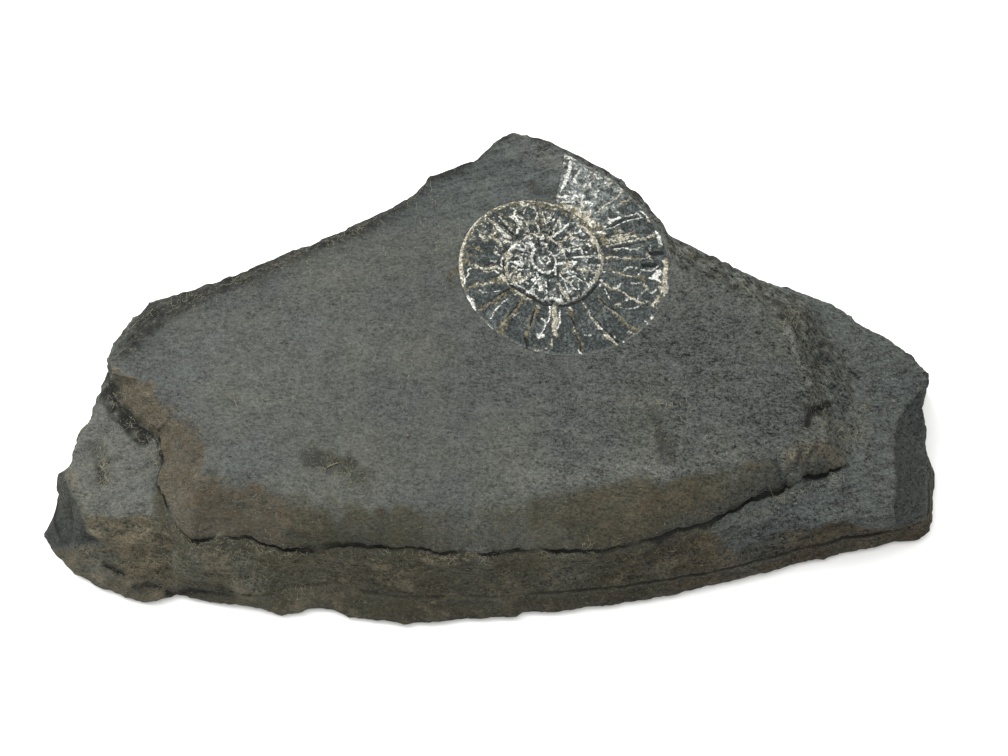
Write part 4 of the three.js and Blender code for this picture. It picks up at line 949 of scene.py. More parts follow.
# Shell weathered to cream
CREAM_SHELL = [
    (1.0, (-20.5, 0.2), (-20.1, 3.3), (-19.4, 6.1), (-18.6, 8.5)),
    (0.9, (-12, 15.4), (-10.7, 16.3), (-9.2, 16.9), (-7.5, 17.3)),
    (0.6, (-7.5, 17.3), (-6.1, 17.6), (-4.3, 17.7), (-2.8, 17.5)),
    (0.4, (-0.7, 17.2), (1.4, 16.6), (3.2, 15.7), (5.1, 14.8), (6.4, 14.1)),
    (1.3, (-5.4, 16.6), (-4.8, 15.9)),
    (0.6, (-5, 11.6), (-4.1, 10.1), (-3.8, 8.3), (-3.2, 7.2)),
    (0.5, (3.7, 11.2), (3.1, 9.9), (2.4, 8.5), (2, 7), (1.4, 5.9)),
    (0.8, (-12.9, 11.2), (-12, 10.5), (-11.4, 10.1)),
    (0.5, (-10.8, 12.1), (-9.9, 11), (-9, 9.9), (-8, 8.7)),
    (0.7, (-15.5, 7.2), (-14.7, 6.1)),
    (0.8, (-11.6, 5.9), (-10.8, 4.8), (-10.5, 3.9)),
    (0.6, (-10.1, 0.2), (-8.8, 2.4), (-7.5, 3.9), (-6, 5), (-4.5, 5.9)),
    (1.0, (-2.3, 7.9), (-1.5, 7.6)),
    (0.6, (1.4, 5.4), (2.7, 4.6), (3.6, 3.7), (4.3, 2.6), (4.7, 1.5)),
    (0.8, (8.9, 29.6), (10.2, 29.1)),
    (0.2, (11.3, 27.9), (12.3, 27.3), (13, 26.5)),
    (0.3, (13.4, 26.6), (12.8, 25.2), (12.9, 24), (12.2, 23.1), (11.4, 21.8), (10.4, 20.4),
     (9.6, 19.5)),
    (0.3, (14.9, 26.1), (15.8, 25.2), (16.4, 24.5), (15.6, 23.8)),
    (0.5, (14.8, 21.1), (16.3, 21.8), (17.6, 22.7), (18.6, 22.8), (19.3, 21.5), (19.1, 19.7),
     (18.3, 18.1), (16.9, 17), (15.4, 15.9), (14, 14.8), (12.7, 13.4)),
    (0.3, (21.3, 19.3), (21.5, 18.1), (20.7, 17.2), (19.5, 16.6), (18.4, 15.7)),
    (0.6, (25.2, 12.1), (25.5, 11.2)),
    (0.5, (15.2, 4), (17.3, 4.6), (19.9, 5.2), (22.1, 5.8)),
    (0.6, (15, 4.8), (16.6, 5.4), (18.2, 5.6), (20.4, 6.2)),
    (0.7, (15.6, 5.6), (17.4, 6.3), (19, 6.4)),
    (0.5, (16.4, 6.7), (18, 7.1), (20, 7.3), (21.6, 7.9)),
    (0.5, (19.6, 6.6), (21.2, 6.9), (22.4, 6.8)),
    (0.4, (17.6, 7.9), (19.4, 8.2)),
    (0.6, (22.1, 5.9), (23.6, 6.1), (25.1, 6.5), (27, 7.2)),
    (0.6, (16.9, 3), (17.4, 2.6)),
    (0.3, (1.5, 18.1), (2.6, 17.9), (3.7, 17)),
    (0.3, (1.5, 16.3), (3.4, 15.4), (5.2, 14.3), (7.1, 13.6), (8.2, 13.4)),
    (1.8, (9.3, 13), (10.8, 13.2)),
    (1.3, (11.9, 10.7), (13, 10.3)),
    (1.1, (8.5, 9.6), (9.8, 8.5), (11, 7.2), (12.1, 5.9), (12.8, 4.1)),
    (1.1, (12.5, 4.8), (13.2, 3), (13.5, 1.5), (13.8, 0)),
    (0.5, (6.8, 7.2), (5.4, 6.3), (4.1, 5.2), (3.2, 4.3)),
    (0.3, (10.2, 4.6), (8.7, 3.9), (6.9, 3.5), (5.4, 3), (4.1, 2.4)),
    (1.3, (-19.6, 5.7), (-20.1, 3.5), (-20.4, 1.4), (-20.4, -0.8), (-20.2, -3), (-20, -4.7)),
    (0.6, (-20, -4.7), (-19.6, -6.4), (-20, -7.7)),
    (0.8, (-18, -1.5), (-16.5, -1.9), (-14.7, -2.3), (-12.8, -2.3), (-11.4, -1.9), (-10.3, -2.5)),
    (0.5, (-14.5, -3.2), (-13.9, -3.6), (-12.5, -3)),
    (0.5, (-16.7, -6.8), (-15, -7), (-13.6, -6.6), (-12.5, -6.4)),
    (0.8, (-11, -5.5), (-10.3, -4.5), (-9.5, -5.8)),
    (0.4, (-19, -10), (-18.3, -11.5), (-17.7, -13.2), (-17, -14.4)),
    (0.3, (-17, -14.6), (-16.1, -15.7), (-15.3, -15.9)),
    (0.2, (-16.1, -15.9), (-15, -16.9), (-13.9, -18)),
    (0.2, (-10.8, -21.5), (-9.5, -22.1), (-8.1, -22.9)),
    (0.2, (-4.7, -24.6), (-3.1, -24.8), (-1.3, -24.6), (0.3, -24.3)),
    (0.2, (-9.2, -16.9), (-10.1, -17.8)),
    (0.6, (-1.7, -12.8), (-1.4, -13.4)),
    (1.3, (1.9, -13), (2.1, -14.6), (2.4, -16.5), (2.2, -18.2), (2, -19.8), (2.3, -20.7)),
    (0.4, (2.5, -20.1), (2.7, -21.3)),
    (0.3, (1.4, -21.9), (1.4, -22.9), (1.6, -24)),
    (0.9, (-9.4, -1.9), (-9.1, -3.6), (-8.3, -5.4), (-7.2, -6.5)),
    (0.4, (-9.9, -4.3), (-9.2, -6), (-8.3, -7.5)),
    (0.6, (-6.8, -8.5), (-5.7, -8.9), (-4.4, -9.8), (-3.3, -10.6)),
    (0.9, (-5.2, -10), (-4.3, -10.7)),
    (0.7, (-9.2, 0.9), (-8.2, 1.1)),
    (0.7, (-9.4, 0.1), (-8.8, 0.3)),
    (1.1, (-7, -5.1), (-5.9, -4.9), (-5.7, -6)),
    (0.5, (-5.9, -6.4), (-5, -6.2), (-4, -5.1), (-3.5, -4.3)),
    (0.4, (-1.1, -7), (-0.6, -8.1), (-1, -8.9)),
    (0.8, (3.3, -7.2), (3.6, -8.1), (4.1, -9.4), (4.9, -10.2)),
    (1.1, (11.4, 5.7), (12.4, 4.4), (13.2, 3.3), (13.7, 1.8)),
    (0.8, (13.5, 1.4), (13.8, -0.8), (13, -3.6), (12.4, -4.9), (11.8, -6.2)),
    (0.3, (11.5, -7), (10.6, -8.3), (9.4, -9.6), (8.1, -10.5), (6.8, -11.1)),
    (0.6, (15.3, 0.7), (17, 0.9), (18.8, 0.3), (20.5, 0.3)),
    (0.4, (23.4, 0.3), (24.7, 0.5), (25.6, 0.3), (26.1, -0.6)),
    (0.7, (24.8, 1.8), (25.1, 1.1)),
    (1.2, (28.9, -0.2), (29.2, -1.7), (28.8, -3.6), (28.7, -5.5), (28.8, -7.2), (28.2, -8.9)),
    (1.0, (27.5, -7.7), (28, -8.1)),
    (0.7, (27, -10.2), (26.4, -11.5), (25.6, -12.8), (26.3, -13.2)),
    (0.3, (24.1, -19.4), (22.6, -20.1), (20.8, -20.1), (19.6, -19.8)),
    (0.3, (13.8, -12.8), (15.2, -14), (16.7, -15.1), (17.7, -15.9)),
    (0.3, (8.8, -11.7), (9.3, -12.8), (10.2, -14.4), (11, -16.1), (11.9, -17.6), (12.8, -19)),
    (0.8, (14, -20.7), (15, -21.7), (16.1, -22.5), (16.6, -23.1)),
    (0.7, (5.8, -13.4), (6.5, -14)),
    (0.4, (6.6, -19.2), (6.8, -20.1)),
    (0.6, (13.8, -6.4), (14.7, -7.2), (15.8, -8.1), (17.2, -8.1), (18.5, -8.9), (19.4, -10),
     (20.4, -11.1), (21.3, -11.3)),
    (0.3, (17.7, -4), (19.2, -4.5), (21, -5.1)),
    (0.6, (21.3, -11.3), (22.2, -12.1), (23.1, -12.1)),
    (0.3, (22.5, -12.8), (23.5, -12.1), (24.4, -11.5)),
    (0.5, (16.6, -12.3), (17.7, -12.5)),
    (0.5, (23.7, -7), (24.7, -8.1)),
    (0.6, (4.2, -1), (5.3, -1), (5.5, -2.3), (4.5, -3.4), (3.8, -4.3)),
    (0.6, (9.2, -6.4), (10.3, -7), (10.9, -6.8)),
    (0.4, (8.2, -3), (9.5, -3.6), (11.1, -3.4)),
    (0.5, (10.6, -2.5), (11.5, -3.8)),
    (0.7, (-2.3, 6.9), (-1.4, 6.2), (-0.8, 5.6)),
    (0.7, (0.2, 4.1), (0.7, 3.2)),
    (0.9, (-8.4, 3), (-7.3, 2.8)),
    (1.1, (-8.9, 1.9), (-8.3, 1), (-8.6, 0.3)),
    (0.3, (-7.3, 0.7), (-6, 0.8)),
    (0.6, (-12, 2.2), (-10.9, 1.4)),
    (0.4, (-4.2, 6.6), (-3.4, 6.3), (-3.1, 5.4)),
    (0.5, (-6.6, 4.6), (-6, 4.7)),
    (0.8, (6, 7.2), (6.6, 7.6)),
    (0.8, (6.5, 5.8), (7.4, 5.7)),
    (0.3, (4.4, 2.3), (4.8, 1.2), (5.2, 0.2)),
    (0.5, (3.5, 4.1), (4.2, 4.4)),
    (0.6, (5.3, -0.2), (6.2, -0.9)),
    (0.6, (-8.5, -4.3), (-7.3, -3.8), (-6.4, -3.4)),
    (0.8, (-6.6, -5.6), (-5.2, -6.4)),
    (0.9, (-6.2, -9.1), (-4.9, -10.2), (-3.4, -10.6)),
    (0.4, (-7.1, -9.6), (-6.2, -9)),
    (0.7, (5, -1.2), (6.2, -1.5), (7.4, -1.2)),
    (0.4, (5.8, -2), (6.6, -2.5), (7.4, -2.1)),
    (0.9, (5.3, -5.8), (6, -6.6)),
    (0.8, (3.9, -8.9), (4.9, -10), (5.6, -11.2)),
    (0.6, (7.9, -3.1), (9.4, -3.5), (11, -3.5)),
    (0.8, (5.2, 15.8), (7, 15.4), (8.6, 14.8)),
    (0.7, (8.4, 17.2), (9.6, 15.6)),
    (0.6, (2.6, 19.8), (3.6, 19)),
    (1.6, (8.4, 13.4), (10.4, 12), (12, 10)),
]

# Tan crust in the furrows and along the seams
TAN_CRUST = [
    (0.7, (-15.5, 12.3), (-14.2, 13.4), (-12.9, 14.5), (-11.6, 15.2)),
    (0.8, (-9.9, 15.2), (-8, 16.3), (-6.1, 16.8), (-4.3, 17), (-2.4, 16.7)),
    (1.1, (-0.5, 15.9), (1.9, 15.2), (4.1, 14.1), (5.8, 12.5)),
    (0.6, (-1, 15.2), (-0.9, 13.4), (-0.8, 11.4), (-1.1, 9.9)),
    (0.5, (-8.2, 9.9), (-7.5, 9), (-7.7, 8.3)),
    (0.9, (-12.5, 8.5), (-11.9, 7.2), (-12.1, 6.1)),
    (0.8, (-18.6, 7), (-17.3, 7.4)),
    (0.7, (-19.2, 4.8), (-17.3, 3.7), (-15.4, 2.6)),
    (0.7, (-19.5, 1.9), (-17.7, 1.1), (-16.2, 1.5)),
    (1.7, (-18.4, 7.6), (-16.6, 10.6), (-13.6, 13.8), (-10.2, 15.8), (-5.9, 16.8), (-1.1, 16.8),
     (3, 15.6)),
    (1.3, (-19.8, 5), (-20.2, 1), (-20, -3), (-19.6, -7)),
    (0.7, (-1.5, 7.4), (0.3, 6.3), (1.4, 5.4)),
    (1.0, (21.6, 7.9), (22.5, 6.8)),
    (1.1, (2.6, 15.9), (4.8, 14.1), (6.1, 12.5), (7.6, 11.4), (9.3, 10.7)),
    (0.9, (13.3, 9.4), (14.4, 9)),
    (0.7, (9.4, 9.9), (11.1, 8.3), (12.3, 6.8)),
    (0.6, (10.6, 4.1), (12, 3.3)),
    (1.1, (-19.5, -0.8), (-18.8, 0.1)),
    (0.6, (-15.4, -1.9), (-13.6, -2.1), (-11.4, -1.8)),
    (1.0, (-12.5, -6.2), (-11.4, -5.5), (-10.3, -4.7)),
    (0.7, (-19, -8.1), (-17.9, -7.5), (-16.5, -7)),
    (0.8, (-8.6, -9.2), (-10.3, -10.4), (-11.7, -11.5), (-13.5, -12.5), (-15, -13.6),
     (-15.9, -14.4)),
    (1.0, (-5.2, -10.4), (-5.7, -11.9), (-6.6, -13.4), (-7.7, -14.9), (-8.8, -16.3), (-9.5, -17.4)),
    (1.6, (-9.9, -17.4), (-10.4, -18.8), (-10.8, -20.3)),
    (1.1, (-1.4, -12.5), (-2.1, -14), (-2.7, -15.3), (-3, -16.7), (-3.4, -18)),
    (1.0, (-3.8, -18.4), (-4.3, -19.8), (-4.5, -21.1)),
    (0.6, (1.7, -13.2), (1.5, -14.9), (1.7, -16.9), (1.8, -19), (1.6, -21.1)),
    (0.7, (-8.1, -8.1), (-7, -8.3)),
    (0.9, (13.3, 1.8), (14, 0.1), (13.4, -1.5), (13, -2.5), (13, -3.6)),
    (0.8, (20.5, 0.3), (22.1, 0.3), (23.4, 0.5)),
    (0.8, (28.6, -3), (28.3, -5.1), (27.9, -6.8)),
    (0.9, (27.4, -9.8), (26.6, -11.3), (26, -12.5)),
    (1.0, (19.4, -18.4), (20.5, -18.8), (22.3, -19.2)),
    (0.8, (12.8, -10.9), (14.2, -12.8), (15.6, -14.2), (17, -15.5), (18.2, -16.9), (19.3, -18.4)),
    (0.9, (6, -13.2), (6.2, -14.9), (6.5, -16.3)),
    (0.9, (6.4, -19.4), (7.1, -20.5), (7.6, -21.9), (8.2, -23.4), (8.3, -24.6)),
    (0.7, (15.8, -8.5), (16.9, -8.6)),
    (0.6, (15.8, -3), (17.4, -3.6), (18.8, -4.3), (20.6, -4.9), (22.8, -4.9), (24, -4.7)),
    (0.6, (23.2, -5.1), (24.2, -6.6)),
    (1.2, (-12, -6.2), (-10.6, -5.9)),
    (1.6, (9.4, 10.6), (11, 9.2), (12.4, 7.4)),
    (1.6, (4.5, 15.8), (7.2, 14.2), (9.4, 12.8)),
    (2.6, (8.6, 13), (10.8, 11.4), (12.4, 9.4)),
    (1.6, (12.2, 9.8), (13.8, 7.4), (14.7, 5.2)),
    (0.8, (7.7, 11.3), (9.3, 11.2)),
]

# Open cracks and deep furrows, cut into the face and painted near black as painted shade
OPEN_CRACKS = [
    (0.2, (0.4, 16.3), (2.3, 15.5), (4.1, 14.4), (5.8, 13.4)),
    (0.3, (-10.1, 10.3), (-8.8, 8.7), (-7.5, 7.4)),
    (0.3, (15.2, 9.4), (16.7, 9.9), (18.2, 10.7), (19.7, 11.9), (21.6, 12.1), (23.3, 12.3)),
    (0.4, (16.7, 3.6), (18.9, 3.7), (21, 4.3), (22.8, 5), (24.3, 5.2)),
    (0.25, (-8.4, -8.1), (-9.9, -9.2), (-11.4, -10.2), (-13.2, -11.5), (-14.6, -12.5), (-15, -13.2)),
    (0.3, (-6.3, -12.1), (-7.2, -13.6), (-8.1, -14.9), (-8.8, -15.9)),
    (0.4, (-2.5, -14.2), (-3, -15.7), (-3.4, -17.4), (-3.6, -18.4)),
    (0.7, (-4.7, -21.5), (-4.3, -22.7), (-4.5, -24)),
    (0.3, (-9.5, 0.7), (-9.9, -0.8), (-9.9, -3), (-9.7, -4)),
    (0.4, (-8.3, -7.1), (-6.8, -7.7), (-5.7, -8.7), (-4.4, -9.6), (-3, -10.5), (-1.5, -11.3),
     (-0.1, -12.2)),
    (0.6, (-0.1, -12.4), (1.5, -12.6)),
    (0.6, (3.5, -12.7), (5.3, -12.5), (7.1, -11.8), (8.8, -11), (10.3, -9.7), (11.4, -8.4),
     (12.1, -7.2)),
    (1.1, (25.7, 2), (27.2, 2), (28.5, 2.2)),
    (0.7, (23.7, -1.6), (25.5, -1.8), (26.8, -1.6)),
    (0.3, (13.2, -10.9), (14.6, -13), (16, -13.9), (16.9, -14.1)),
    (0.3, (10.9, -15.7), (12.3, -16.9), (13.3, -18.6), (14.4, -19.8), (15.8, -21.3), (16.8, -22.5)),
    (0.7, (16.5, -22.1), (17, -22.5)),
    (0.4, (6, -15.7), (6.5, -17.1), (7, -18)),
    (0.4, (7.1, -21.1), (8, -22.7), (8.3, -24), (8.1, -24.8)),
]

column_angle = APERTURE - FULL_TURN * (np.arange(RING_COLUMNS)[::-1] + 0.5) / RING_COLUMNS
column_margin = margin_radius(column_angle)
row_place = np.arange(1, RING_ROWS + 1) / RING_ROWS
ring_radius = (row_place[:, None] * column_margin[None]).ravel()
ring_angle = np.tile(column_angle, RING_ROWS)
ring_margin = np.tile(column_margin, RING_ROWS)
ring_plan = crushed(ring_angle, ring_radius)

# The whorl that a place lies on, counted from the last one, and where across it the place is
turn_there = np.log(np.maximum(ring_radius, 0.3) / SHELL_RADIUS) / GROWTH + RADIUS_ANGLE
whorl = np.maximum(np.floor((ring_angle - turn_there) / FULL_TURN), 0)
seam_angle = ring_angle - whorl * FULL_TURN
outer_seam = spiral_radius(seam_angle)
inner_seam = spiral_radius(seam_angle - FULL_TURN)
across_whorl = np.clip((ring_radius - inner_seam) / (outer_seam - inner_seam), 0, 1)
last = whorl < 0.5
degrees = np.degrees(ring_angle)

from_hub = ring_plan - SHELL_CENTRE
flat_places = np.column_stack([from_hub, np.zeros(len(from_hub))])
fine = clumps(flat_places, 0.7, 3, 13.0)
medium = clumps(flat_places, 1.7, 3, 19.0)
coarse = clumps(flat_places, 5.0, 3, 23.0)
# Grain that runs along the ribs, finer over the inner whorls
rib_places = np.column_stack([
    outer_seam / GROWTH / 0.62, across_whorl * (outer_seam - inner_seam) / 2.0, whorl * 9.3])
rib_grain = clumps(rib_places, 1.0, 3, 31.0)
RAGGED = 0.2  # edges of the pieces wander by this much
wander = np.column_stack([clumps(flat_places, 0.8, 3, seed) for seed in (2.0, 6.0)])
ragged_hub = from_hub + RAGGED * wander


def cover(pieces, soft):
    """How far each place is covered by long thin pieces, from 0 to 1."""
    amount = np.zeros(len(ragged_hub))
    for width, *line in pieces:
        half = width / 2
        low = np.min(line, axis=0) - half - soft
        high = np.max(line, axis=0) + half + soft
        close = np.all((ragged_hub > low) & (ragged_hub < high), axis=1)
        gap = line_distance(ragged_hub[close], line)
        amount[close] = np.maximum(amount[close], smooth_step(half + soft, half - soft, gap))
    return amount


white = cover(WHITE_SHELL, 0.22)
cream = cover(CREAM_SHELL, 0.28)
tan = cover(TAN_CRUST, 0.4)
cracks = cover(OPEN_CRACKS, 0.25)
near_cream = cover([(width + 0.9, *line) for width, *line in CREAM_SHELL + TAN_CRUST], 0.5)

# Small broken pieces of shell, thick over the inner whorls and on the last part of the shell
near_aperture = smooth_step(34, 52, degrees + 16 * (1 - across_whorl))
upper_left = smooth_step(-292, -280, degrees) * smooth_step(-182, -205, degrees)
crowding = np.where(last, 0.05 + 0.5 * near_aperture + 0.5 * upper_left, 0.5)
crowding *= smooth_step(1.5, 4, ring_radius)
chips = np.where(last, 0.7 * fine + 0.3 * rib_grain + 0.2 * medium, 0.85 * fine + 0.3 * medium)
chips += last * near_aperture * (0.5 * medium - 0.35 * fine)
chips = smooth_step(0.05, 0.5, chips + 0.3 * coarse + 0.9 * (crowding - 0.62))
white = np.maximum(white * (0.75 + 0.4 * fine), 0.75 * chips * (crowding > 0.1))
cream_chips = 0.6 * chips * smooth_step(-0.1, 0.4, medium) * last
cream = np.maximum(cream * (0.75 + 0.5 * fine + 0.3 * medium), cream_chips)
crust = smooth_step(-0.1, 0.4, medium + 0.3 * fine)
cream = np.maximum(cream, 0.8 * white * upper_left * last)
white *= 1 - 0.35 * upper_left * last
speckle = smooth_step(-0.1, 0.4, 0.35 * fine + 0.6 * medium + 0.4 * rib_grain + 0.3 * coarse)
tan = np.maximum(tan * (0.75 + 0.5 * medium), crust * near_cream * 0.7)
tan = np.maximum(tan, 0.8 * speckle * upper_left * last)
tan = np.maximum(tan, 0.2 * crust * (1 - last)) * (0.85 + 0.6 * fine)
dust = 0.3 + 0.4 * coarse + 0.1 * rib_grain + 0.35 * medium + 0.35 * fine
film = smooth_step(-0.25, 0.35, medium + 0.5 * coarse)
film = np.where(last, (0.34 + 0.5 * film) * near_aperture + 0.55 * film * upper_left, 0.5 * film)
SHADE_REACH = 1.4  # the inner whorls shade the last one by this much
shade_under = fade(ring_radius - inner_seam, SHADE_REACH) * last
shade_under *= smooth_step(-125, -100, degrees) * smooth_step(-10, -35, degrees)

# Height of the face above the bedding plane
INNER_RIBS = 20  # in one turn
LAST_RIBS = np.array([  # their angles on the last whorl, in degrees
    78, 63, 51, 42, 27, 12, 0, -12, -27, -42, -54, -72, -87, -102, -120, -138, -159, -177,
    -195, -213, -228, -243, -261,
])
RIB_WIDTH = 0.9
SEAM_WIDTH = 0.6
LAST_RISE = 0.1
LAST_ARCH = 0.3
LAST_RIB_HEIGHT = 0.55
INNER_RISE = 0.45
INNER_ARCH = 0.6
INNER_RIB_HEIGHT = 0.35
SEAM_DEPTH = 0.35
SHELL_THICK = 0.12
CRUST_THICK = 0.06
FURROW_DEPTH = 0.5
FLAT_HUB = 2.2
HUB_HEIGHT = 0.9
MARGIN_HEIGHT = 0.03
arch = np.sin(math.pi * across_whorl) ** 0.6
inner_ribs = (0.5 + 0.5 * np.cos(seam_angle * INNER_RIBS)) ** 2
rib_gap = np.min(np.abs(degrees[:, None] - LAST_RIBS), axis=1)
last_ribs = fade(np.radians(rib_gap) * ring_radius, RIB_WIDTH)
face_height = np.where(last, LAST_RISE + LAST_ARCH * arch + LAST_RIB_HEIGHT * last_ribs * arch,
                       INNER_RISE + INNER_ARCH * arch + INNER_RIB_HEIGHT * arch * inner_ribs)
face_height -= SEAM_DEPTH * fade(ring_radius - inner_seam, SEAM_WIDTH) * last
shell_there = np.maximum(white, cream)
face_height += SHELL_THICK * shell_there + CRUST_THICK * tan * (0.5 + fine) - FURROW_DEPTH * cracks
face_height += 0.1 * fine + 0.1 * rib_grain + 0.08 * medium
# The coil's middle is pressed nearly flat, and the shell's mouth runs out on the stone
face_height = np.where(ring_radius < FLAT_HUB, HUB_HEIGHT + 0.1 * fine, face_height)
mouth_gap = (APERTURE - ring_angle) * ring_radius + 0.8 * medium + 0.4 * fine
at_mouth = smooth_step(1.3, 0.1, mouth_gap) * last
face_height *= 1 - 0.85 * at_mouth
at_margin = np.maximum(smooth_step(1.2, 0.1, ring_margin - ring_radius), at_mouth)
face_height = np.maximum(face_height * (1 - at_margin) + MARGIN_HEIGHT * at_margin,
                         MARGIN_HEIGHT * at_margin - 0.2)
ring_points = np.column_stack([ring_plan, TOP + face_height])

# The ring grid is closed by one point at the hub and by a skirt down into the stone
skirt = ring_points[-RING_COLUMNS:].copy()
skirt[:, 2] = TOP - SKIRT
hub = [*SHELL_CENTRE, TOP + face_height[:RING_COLUMNS].mean()]
under = [*SHELL_CENTRE, TOP - SKIRT]
shell_points = np.vstack([ring_points, skirt, hub, under])
ring_ids = np.arange(len(ring_points) + RING_COLUMNS).reshape(-1, RING_COLUMNS)
next_ids = np.roll(ring_ids, -1, axis=1)
walls = np.dstack([next_ids[:-1], ring_ids[:-1], ring_ids[1:], next_ids[1:]])
shell_faces = walls.reshape(-1, 4).tolist()
hub_id = ring_ids.size
for near, far in zip(ring_ids[0].tolist(), next_ids[0].tolist()):
    shell_faces.append((hub_id, near, far))
for near, far in zip(ring_ids[-1].tolist(), next_ids[-1].tolist()):
    shell_faces.append((hub_id + 1, far, near))
padding = ((0, RING_COLUMNS + 2), (0, 0))
shell = coloured_mesh("crushed_ammonite", shell_points, shell_faces, {
    "shell_cover": np.pad(np.column_stack([white, cream, tan]), padding),
    "shell_marks": np.pad(np.column_stack([
        # painted shade in the cracks and painted shadow under the inner whorls, dust, margin, film
        np.maximum(cracks, 0.6 * shade_under), dust, at_margin, film]), padding),
})
# The face keeps its own shading where it meets the skirt
edge_ends = np.zeros(len(shell.data.edges) * 2, int)
shell.data.edges.foreach_get("vertices", edge_ends)
on_rim = ((edge_ends // RING_COLUMNS) == RING_ROWS - 1).reshape(-1, 2).all(axis=1)
shell.data.edges.foreach_set("use_edge_sharp", on_rim)

# Shell and mould: chalky white calcite, cream where it has weathered, over a mudstone mould a
# little darker and bluer than the slab. The eye gets sharp pale slivers on blue-black, with tan
# in the furrows. The cracks and furrows are painted near black as painted shade, and a painted
# shadow lies under the inner whorls.
tree, calcite, in_mm = surface(
    "calcite_on_mudstone_mould", shell, IOR=1.55, Roughness=0.75, Specular_IOR_Level=0.2)
SHELL_GRAIN = 0.5
SHELL_MOTTLE = 1.8
grains = add(tree, "TexNoise", in_mm, Scale=1 / SHELL_GRAIN, Detail=3, Roughness=0.6, Distortion=0.5)
flecks = add(tree, "TexNoise", in_mm, Scale=1 / FLECK, Detail=3, Roughness=0.7)
fine_flecks = add(tree, "TexNoise", in_mm, Scale=2.2 / FLECK, Detail=2, Roughness=0.6)
mottle = add(tree, "TexNoise", in_mm, Scale=1 / SHELL_MOTTLE, Detail=3, Roughness=0.6)
covers = add(tree, "SeparateColor", add(tree, "Attribute", attribute_name="shell_cover")).outputs
mark_layer = add(tree, "Attribute", attribute_name="shell_marks")
marks = add(tree, "SeparateColor", mark_layer).outputs
film = mark_layer.outputs["Alpha"]
# Every tint runs from a darker to a lighter one with the grain
paler = add(tree, "MapRange", flecks, 0.38, 0.62, interpolation_type="SMOOTHSTEP")
shade = add(tree, "Mix", paler, colour("#1b201f"), colour("#323837"), data_type="RGBA")
for amount, dark_tint, pale_tint in (
    (frayed(tree, marks["Green"], flecks, 1.2), "#3a3f3d", "#515654"),
    (frayed(tree, marks["Blue"], flecks, 1.0), "#3c403e", "#4c4f4c"),
    (frayed(tree, film, mottle, 1.5), "#4c5151", "#787c78"),
    (frayed(tree, covers["Blue"], grains, 2.8), "#443e2f", "#6e674f"),
    (frayed(tree, covers["Green"], grains, 2.4), "#7c7869", "#b0ac9d"),
    (frayed(tree, covers["Red"], grains, 2.0), "#989992", "#d2d3cb"),
    # Painted shade: near black in the cracks and furrows, and the painted shadow of the inner whorls
    (frayed(tree, marks["Red"], grains, 1.2), "#101312", "#181b1a"),
):
    tint = add(tree, "Mix", paler, colour(dark_tint), colour(pale_tint), data_type="RGBA")
    shade = add(tree, "Mix", amount, shade, tint, data_type="RGBA")
lightness = 1.0
for amount, strength in ((mottle, 0.7), (flecks, 0.5), (fine_flecks, 3.3)):
    swing = add(tree, "Math", amount, strength, -strength / 2, operation="MULTIPLY_ADD")
    lightness = add(tree, "Math", swing, lightness, operation="ADD")
shade = add(tree, "VectorMath", shade, operation="SCALE", Scale=lightness)
feed(tree, calcite.inputs["Base Color"], shade)
GRAIN_RELIEF = 0.15
relief = add(tree, "Bump", Height=grains, Strength=0.8, Distance=GRAIN_RELIEF * MM)
feed(tree, calcite.inputs["Normal"], relief)
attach(shell, "root")
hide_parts("ammonite")


# Lint: dust fibres and plant hairs that cling to the rough stone, most of them along the split.
# Real ones are finer, and these are drawn as thick as they need to be to show.
FIBRE_THICK = 0.058
SHORTEST_FIBRE = 0.6
TYPICAL_EXTRA = 0.9  # fibres are longer than that by this much on average
FIBRE_POINTS = 6
STEEPEST_STEP = 0.5  # fibres that would climb more from point to point don't hold
LOWEST_LINT = 3
ABOVE_SLAB = 60
# Fibres that stand out, each with its thickness and its points
NAMED_FIBRES = [
    (0.28, [(-38, -35.2, 28.1), (-36.6, -34.5, 28.3), (-35.3, -34, 28.1)]),
    (0.13, [(62.5, -37, 22.6), (63.2, -38, 21), (64.4, -39.6, 18.9)]),
    (0.1, [(-60.5, -16, 28.1), (-60.2, -18, 28.2), (-59.2, -20, 28.1)]),
    (0.5, [(-20.1, -27.2, 28.1), (-19.9, -27.2, 28.2), (-19.6, -27.1, 28.1)]),
]
# Where fibres lie: how many, how far from the line they stray, and the line
LINT_LINES = [
    (760, 2.2, [(-74, -46), (-69, -51), (-57, -51), (-41, -54), (-17, -53.5), (6, -54), (30, -53)]),
    (220, 1.8, [(30, -53), (47, -47), (58, -43), (68, -38), (80, -33)]),
    (150, 3.0, [(-93, -8), (-88, -17), (-80, -25), (-78, -35)]),
    (120, 3.0, [(-91, -26), (-90, -35)]),
    (260, 3.6, [(70, 6), (74, -6), (77, -18), (79, -30)]),
    (150, 2.4, [(72, -18), (84, -24), (88, -14)]),
    (540, 4.5, [(-84, -50), (-60, -54), (-36, -57)]),
    (110, 2.6, [(42, 26), (52, 18), (62, 12)]),
    (60, 3.4, [(-40, -33), (-30, -37)]),
    (70, 3.0, [(-70, -40), (-52, -44)]),
    (60, 1.4, [(20, -19.3), (34, -18.3), (46, -20)]),
    (120, 14, [(-60, -14), (0, -16), (50, -8)]),
    (60, 8, [(-70, 4), (-20, 30)]),
    (240, 2.4, [(-90, 2), (-82, 8), (-66, 14), (-42, 26), (-30, 32)]),
    (120, 4.5, [(-24, 40), (-14, 38), (-16, 26), (-11, 15)]),
]
LINT_SEED = 5
lint_draws = np.random.default_rng(LINT_SEED)
slab_tree = BVHTree.FromObject(slab, bpy.context.evaluated_depsgraph_get())


def on_slab(spot_x, spot_y):
    """Height of the slab's surface, in millimetres, at a place in plan."""
    start = Vector((spot_x - BOX_MIDDLE[0], spot_y - BOX_MIDDLE[1], ABOVE_SLAB)) * MM
    hit = slab_tree.ray_cast(start, Vector((0, 0, -1)))[0]
    return None if hit is None else hit.z / MM


